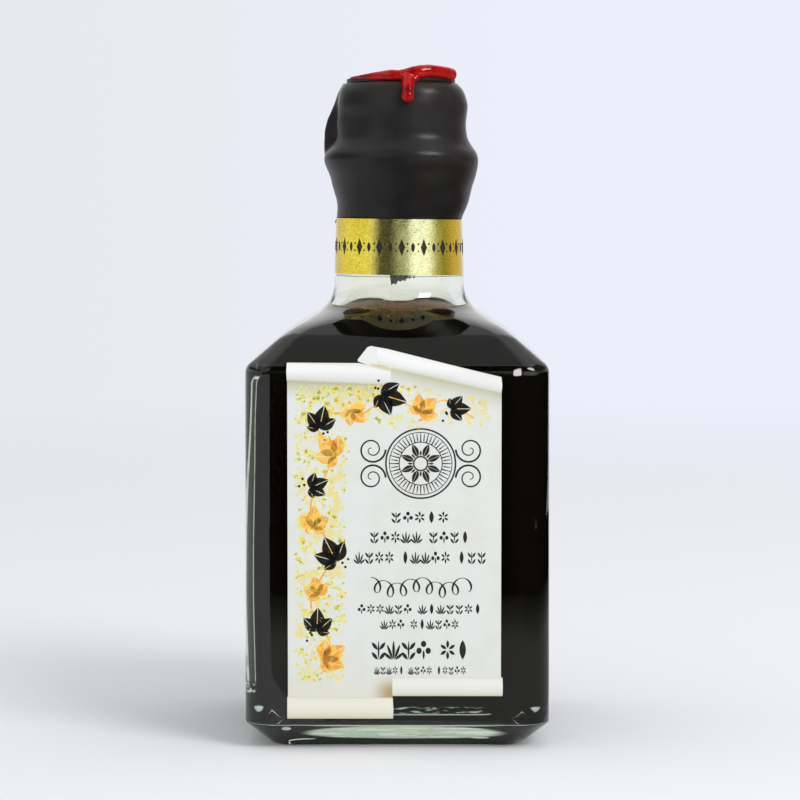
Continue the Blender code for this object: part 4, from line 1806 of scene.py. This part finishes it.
    def _specks(self) -> Piece:
        """Yellow specks in clumps, along the left and over the top."""
        points, faces = [], []
        for k, (left, right, low, high) in enumerate(self.speck_fields):
            points += [(left, 0.0, low), (right, 0.0, low), (right, 0.0, high), (left, 0.0, high)]
            faces.append((4 * k, 4 * k + 1, 4 * k + 2, 4 * k + 3))
        source = mesh_object("label_specks", np.array(points), faces)
        stamp = Stamp.BLOT.piece(self.ink / 2)
        values = {
            "Stamp": stamp,
            "Density": 8.5 / MM**2,
            "Clump": 300.0,
            "Smallest": 0.25,
            "Largest": 1.15,
            "Seed": 11,
        }
        made = scatter_recipe().made_from(source, values)
        bpy.data.objects.remove(stamp)
        return made

    def _vine(self, orange: bool) -> list[Piece]:
        """Sprigs of leaves along the stem, every other one in orange, and the stem with the black ones."""
        stem = self._stem()
        lengths = np.concatenate([[0], np.cumsum(np.linalg.norm(np.diff(stem, axis=0), axis=1))])
        leaves, berries = [], []
        for k in range(self.sprigs):
            if (k % 2 == 0) != orange:
                continue
            at = lengths[-1] * (k + 0.35) / self.sprigs
            x, z, ahead, up = (
                float(np.interp(at + on, lengths, stem[:, axis])) for on in (0.0, 1.0) for axis in (0, 1)
            )
            heading = math.atan2(ahead - x, up - z)
            side = 1 if k % 4 < 2 else -1
            size = self.sprig_size - 0.7 * (k % 3)
            for lean, share in self.sprig_leaves:
                angle = heading + side * lean
                length = size * share
                start = (x - side * 1.3 * math.cos(heading), z + side * 1.3 * math.sin(heading))
                middle = beside(start, angle, length / 2)
                leaves.append(Mark(middle, (0.0, angle, 0.0), length * 1.05, length))
            for step, drop in self.sprig_berries:
                place = beside((x + drop * 0.4, z + drop), heading - side * 1.6, step)
                berries.append(Mark(place, (0.0, 0.0, 0.0), 0.55, 0.55))
        name = "orange" if orange else "black"
        made = [
            stamped(f"leaves_{name}", Stamp.LEAF, leaves, self.ink),
            stamped(f"berries_{name}", Stamp.DISC, berries, self.ink),
        ]
        if orange:
            made.append(stroke("vine_stem", stem, 0.35, self.ink * 0.8))
        return made

    def _medallion(self) -> list[Piece]:
        """A round rosette in thin rings, with a pair of curls on either side."""
        x, z = self.medallion
        radius = self.medallion_radius
        turn = np.linspace(0, TURN, 97)
        made = []
        for share, width in self.medallion_rings:
            ring = np.stack([x + radius * share * np.cos(turn), z + radius * share * np.sin(turn)], axis=1)
            made.append(stroke("ring", ring, width, self.ink))
        ticks, petals, inner = [], [], []
        for k in range(self.ticks):
            angle = TURN * k / self.ticks
            place = beside((x, z), angle, radius * 0.76)
            ticks.append(Mark(place, (0.0, angle, 0.0), 1.1, radius * (0.2 if k % 2 else 0.26)))
        for k in range(self.petals):
            angle = TURN * (k + 0.5) / self.petals
            for marks, reach, length in ((petals, 0.41, 0.4), (inner, 0.3, 0.16)):
                turned = angle + (TURN / 2 / self.petals if marks is inner else 0.0)
                place = beside((x, z), turned, radius * reach)
                marks.append(Mark(place, (0.0, turned, 0.0), radius * length * 0.75, radius * length))
        made.append(stamped("ticks", Stamp.TICK, ticks, self.ink))
        made.append(stamped("petals", Stamp.LEAF, petals, self.ink))
        made.append(stamped("inner_petals", Stamp.LENS, inner, self.ink))
        return made + [self._curl(side, rise) for side in (-1, 1) for rise in (-1, 1)]

    def _curl(self, side: int, rise: int) -> Piece:
        """A spiral flourish that grows out of the medallion's side."""
        x, z = self.medallion
        turn = np.linspace(0.0, 1.0, 60)
        spin = turn * self.curl_turns * TURN
        reach = self.curl_reach * (1 - turn) ** 0.8 + 0.25
        away = self.curl_reach + 0.3
        across = x + side * (self.medallion_radius + away - reach * np.cos(spin))
        line = np.stack([across, z + rise * (away - reach * np.sin(spin))], axis=1)
        return stroke("curl", line, 0.42 - 0.26 * turn, self.ink)

    def _text(self) -> list[Piece]:
        """Rows of small ornaments in groups, with one long flourish among them."""
        kinds = (Stamp.SPRIG, Stamp.ROSE, Stamp.SPRAY, Stamp.TREFOIL, Stamp.LENS)
        marks: dict[Stamp, list[Mark]] = {kind: [] for kind in kinds}
        step = 0
        for row in self.rows:
            cells = sum(row.groups) + self.word_gap * (len(row.groups) - 1)
            cell = (row.right - row.left) / cells
            tall = row.high - row.low
            x = row.left + cell / 2
            for group in row.groups:
                for _ in range(group):
                    kind = kinds[step * 3 % 5 if step % 4 else step % 3]
                    wide = min(cell * 0.98, tall * 1.15) * (0.8 if kind is Stamp.LENS else 1.0) * row.weight
                    place = (x, 0.0, (row.low + row.high) / 2)
                    marks[kind].append(Mark(place, (0.0, 0.0, 0.0), wide, tall))
                    x += cell
                    step += 1
                x += self.word_gap * cell
        made = [stamped(kind.value, kind, placed, self.ink) for kind, placed in marks.items()]
        sway = np.linspace(0, 1, 300)
        swing = sway * self.flourish_loops * TURN
        across = self.flourish_left + self.flourish_width * sway + 1.2 * np.sin(swing)
        height = self.flourish_height + 1.5 * np.cos(swing) + 0.6 * np.cos(swing * 0.27)
        widths = 0.12 + 0.3 * np.abs(np.sin(swing)) ** 2
        made.append(stroke("flourish", np.stack([across, height], axis=1), widths, self.ink))
        return made


def hang(name: str, points: np.ndarray, faces: Faces, glow: np.ndarray) -> None:
    """Hangs a glowing card in the studio, where only reflections show it.

    Args:
        name: the card's name.
        points: rows of x, y and z in millimetres.
        faces: the points of each face, in order.
        glow: rows of red, green and blue at the points.
    """
    card = mesh_object(name, points, faces)
    shades = card.data.attributes.new("glow", "FLOAT_VECTOR", "POINT")
    shades.data.foreach_set("vector", np.asarray(glow, dtype=np.float32).ravel())
    material, graph = new_material(name)
    read = graph.node("ShaderNodeAttribute", {"attribute_name": "glow"}, output="Vector")
    dressed(graph, graph.node("ShaderNodeEmission", values={"Color": read}))
    card.data.materials.append(material)
    card.visible_camera = False
    card.visible_diffuse = False
    card.visible_transmission = False
    card.visible_shadow = False


def arc(angles: np.ndarray, away: float, height: float) -> np.ndarray:
    """Rows of x, y and z round the bottle, in directions that run from the camera's side to the right."""
    return np.stack([away * np.sin(angles), -away * np.cos(angles), np.full(len(angles), height)], axis=1)


def strips(rows: int, count: int) -> Faces:
    """Faces between rows of points."""
    starts = [(row * count + k, (row + 1) * count + k) for row in range(rows - 1) for k in range(count - 1)]
    return [(low, low + 1, high + 1, high) for low, high in starts]


@dataclass(frozen=True)
class Card:
    """A flat card: its corners and how brightly it glows, all over or at each corner."""

    name: str
    corners: tuple[Triple, ...]
    glow: float | tuple[float, ...] = 0.0

    def build(self) -> None:
        """Hangs the card."""
        count = len(self.corners)
        glow = np.repeat(np.broadcast_to(self.glow, count), 3)
        hang(self.name, np.array(self.corners), [tuple(range(count))], glow)


def square_card(name: str, low: Triple, high: Triple, glow: float | tuple[float, ...] = 0.0) -> Card:
    """A card that lies in a plane of two axes.

    Args:
        name: its name.
        low: one corner.
        high: the opposite corner, which has one place in common with the first.
        glow: how brightly it glows, all over or at each corner.

    Returns:
        The card.
    """
    first, second = (axis for axis in range(3) if low[axis] != high[axis])
    corners = []
    for one, other in ((low, low), (high, low), (high, high), (low, high)):
        corner = list(low)
        corner[first], corner[second] = one[first], other[second]
        corners.append(tuple(corner))
    return Card(name, tuple(corners), glow)


@dataclass(frozen=True)
class ArcCard:
    """A curved card round the neck.

    Its stops are directions in degrees, from the camera's side to the right, with the red, green and
    blue glow there.
    """

    name: str
    radius: float
    low: float
    high: float
    stops: tuple[tuple[float, Triple], ...]

    def build(self) -> None:
        """Hangs the card."""
        places, shades = zip(*self.stops)
        degrees = np.unique(np.concatenate([np.arange(places[0], places[-1], 3.0), places]))
        angles = np.radians(degrees)
        points = np.vstack([arc(angles, self.radius, height) for height in (self.low, self.high)])
        glow = np.stack([np.interp(degrees, places, channel) for channel in zip(*shades)], axis=1)
        hang(self.name, points, strips(2, len(degrees)), np.vstack([glow, glow]))


@dataclass(frozen=True)
class FloorCard:
    """A sector of a disc just over the floor that fades from its middle to black.

    Its angles run in degrees from the camera's side to the right, and its stops are distances from the
    bottle with the glow there.
    """

    name: str
    left: float
    right: float
    stops: Pairs
    height: float = 0.4

    def build(self) -> None:
        """Hangs the card."""
        angles = np.radians(np.arange(self.left, self.right + 1.0, 5.0))
        points = np.vstack([arc(angles, away, self.height) for away, _ in self.stops])
        glow = np.repeat([shade for _, shade in self.stops], 3 * len(angles))
        hang(self.name, points, strips(len(self.stops), len(angles)), glow)


CARDS: tuple[Card | ArcCard | FloorCard, ...] = (
    FloorCard(
        "floor_card",
        -15.0,
        150.0,
        ((60.0, 0.5), (185.0, 0.46), (230.0, 0.2), (285.0, 0.0), (460.0, 0.0)),
    ),
    square_card("left_front_card", (-300, -274, 150), (-90, -274, 450), 0.8),
    square_card("middle_back_card", (-160, 399, 120), (170, 399, 760), 1.35),
    square_card("right_back_card", (90, 400, 120), (700, 400, 760), 0.6),
    square_card("left_back_card", (-700, 400, 120), (-90, 400, 760), 0.6),
    ArcCard(
        "band_card",
        130.0,
        92.0,
        121.0,
        (
            (-144.0, (0.75, 0.7, 0.85)),
            (-100.0, (1.0, 1.0, 1.0)),
            (-50.0, (1.0, 1.0, 1.0)),
            (-32.0, (0.08, 0.08, 0.09)),
            (-15.0, (0.08, 0.08, 0.09)),
            (2.0, (0.46, 0.5, 0.5)),
            (13.0, (0.54, 0.6, 0.6)),
            (25.0, (1.25, 1.3, 1.35)),
            (53.0, (1.2, 1.25, 1.3)),
            (68.0, (0.5, 0.55, 0.6)),
            (84.0, (0.36, 0.36, 0.33)),
            (105.0, (0.65, 0.52, 0.42)),
            (144.0, (0.85, 0.7, 0.75)),
        ),
    ),
    ArcCard(
        "neck_card",
        130.0,
        76.0,
        92.0,
        (
            (10.0, (0.0, 0.0, 0.0)),
            (20.0, (1.3, 1.3, 1.1)),
            (56.0, (1.3, 1.3, 1.1)),
            (66.0, (0.0, 0.0, 0.0)),
        ),
    ),
    square_card("front_card", (-74, -270, 0), (1200, -270, 90)),
    square_card("front_card_high", (-300, -275, 88), (1200, -275, 700)),
    square_card("side_card", (420, -270, 0), (420, 500, 115)),
    square_card("side_card_high", (420, -270, 115), (420, 500, 700), 0.12),
    square_card("left_card_middle", (-420, -270, 118), (-420, 500, 380), 0.15),
    square_card("left_card_high", (-420, -270, 380), (-420, 500, 700), 0.7),
    square_card("back_top_card", (-500, 280, 950), (500, 560, 950), 0.75),
    square_card("top_card", (-110, -200, 940), (110, 280, 940), 0.42),
    square_card("top_left_card", (-500, -200, 940), (-110, 280, 940), (1.5, 0.42, 0.42, 1.5)),
    square_card("top_right_card", (110, -200, 940), (500, 280, 940), (0.42, 1.5, 1.5, 0.42)),
    Card("soft_box", ((210, -261, 271), (294, -161, 271), (240, -115, 380), (156, -215, 380)), 13.0),
)


@dataclass(frozen=True)
class Studio:
    """Camera, floor, pale surroundings, key light and the cards that shape the reflections."""

    camera_distance: float = 614.2
    camera_height: float = 113.6
    camera_azimuth: float = math.radians(0.187)
    camera_pitch: float = math.radians(3.98)
    camera_aside: float = 0.49
    lens: float = 127.12
    world_light: str = "ebeffa"
    world_shade: str = "e7e9ee"
    floor_albedo: float = 0.83
    floor_drop: float = 0.05
    key_direction: Pair = (math.radians(46), math.radians(38))
    key_distance: float = 1300.0
    key_size: float = 600.0
    key_aim: float = 70.0
    key_power: float = 7.4
    floor_reach: float = 3000.0
    floor_sides: int = 64
    floor_fade: Pair = (1100.0, 250.0)
    cards: tuple[Card | ArcCard | FloorCard, ...] = CARDS

    def build(self) -> None:
        """Sets the studio up."""
        self._camera()
        self._world()
        self._floor()
        self._key()
        for card in self.cards:
            card.build()
        bpy.context.scene.view_settings.view_transform = "Standard"

    def _camera(self) -> None:
        """The camera, level with the foot of the wax and looking slightly down."""
        data = bpy.data.cameras.new("camera")
        data.lens = self.lens
        made = in_scene("camera", data)
        turn = Matrix.Rotation(self.camera_azimuth, 4, "Z")
        eye = Vector((self.camera_aside, -self.camera_distance, self.camera_height))
        place = Matrix.Translation(eye * MM)
        tilt = Matrix.Rotation(QUARTER - self.camera_pitch, 4, "X")
        made.matrix_world = turn @ place @ tilt
        bpy.context.scene.camera = made

    def _world(self) -> None:
        """Pale surroundings, a little greyer to the left."""
        world = bpy.data.worlds.new("studio")
        world.use_nodes = True
        world.node_tree.nodes.clear()
        graph = Graph(world.node_tree)
        across, _, _ = graph.split(graph.node("ShaderNodeTexCoord", output="Generated"))
        colour = graph.mix(graph.rise(across, -0.16, 0.08), self.world_shade, self.world_light)
        light = graph.node("ShaderNodeBackground", values={"Color": colour, "Strength": 1.0})
        output = world.node_tree.nodes.new("ShaderNodeOutputWorld")
        world.node_tree.links.new(light.socket, output.inputs["Surface"])
        bpy.context.scene.world = world

    def _floor(self) -> None:
        """A wide pale floor that fades into the surroundings far out."""
        turn = np.arange(self.floor_sides) * TURN / self.floor_sides
        rim = arc(turn, self.floor_reach, -self.floor_drop)
        made = mesh_object("floor", rim, [tuple(range(self.floor_sides))])
        material, graph = new_material("floor")
        settings = {"operation": "LENGTH"}
        away = graph.node("ShaderNodeVectorMath", settings, {0: graph.place()}, output="Value")
        values = {
            "Base Color": (self.floor_albedo, self.floor_albedo * 0.99, self.floor_albedo * 0.97, 1.0),
            "Roughness": 0.9,
            "Specular IOR Level": 0.0,
            "Alpha": graph.rise(away, *self.floor_fade),
        }
        coated(graph, values)
        made.data.materials.append(material)

    def _key(self) -> None:
        """The soft key light, from the front right and above."""
        data = bpy.data.lights.new("key", "AREA")
        data.shape = "DISK"
        data.size = self.key_size * MM
        data.energy = self.key_power
        made = in_scene("key", data)
        azimuth, elevation = self.key_direction
        flat = math.cos(elevation)
        towards = Vector((math.sin(azimuth) * flat, -math.cos(azimuth) * flat, math.sin(elevation)))
        made.location = (Vector((0.0, 0.0, self.key_aim)) + towards * self.key_distance) * MM
        made.rotation_euler = (-towards).to_track_quat("-Z", "Y").to_euler()
        made.visible_glossy = False
        made.visible_camera = False
        made.visible_transmission = False


def main() -> None:
    """Builds the bottle in its studio."""
    logging.basicConfig(level=logging.INFO, format="%(name)s: %(message)s")
    form = BottleForm()
    for assembly in (GlassBottle(form), Vinegar(form), GoldBand(), BlackWax(), RedWax(), Label(form)):
        for piece in assembly.build():
            faces = len(piece.data.polygons)
            log.info("%s: %s with %d faces", type(assembly).__name__, piece.name, faces)
    Studio().build()
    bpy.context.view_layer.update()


if __name__ == "__main__":
    main()
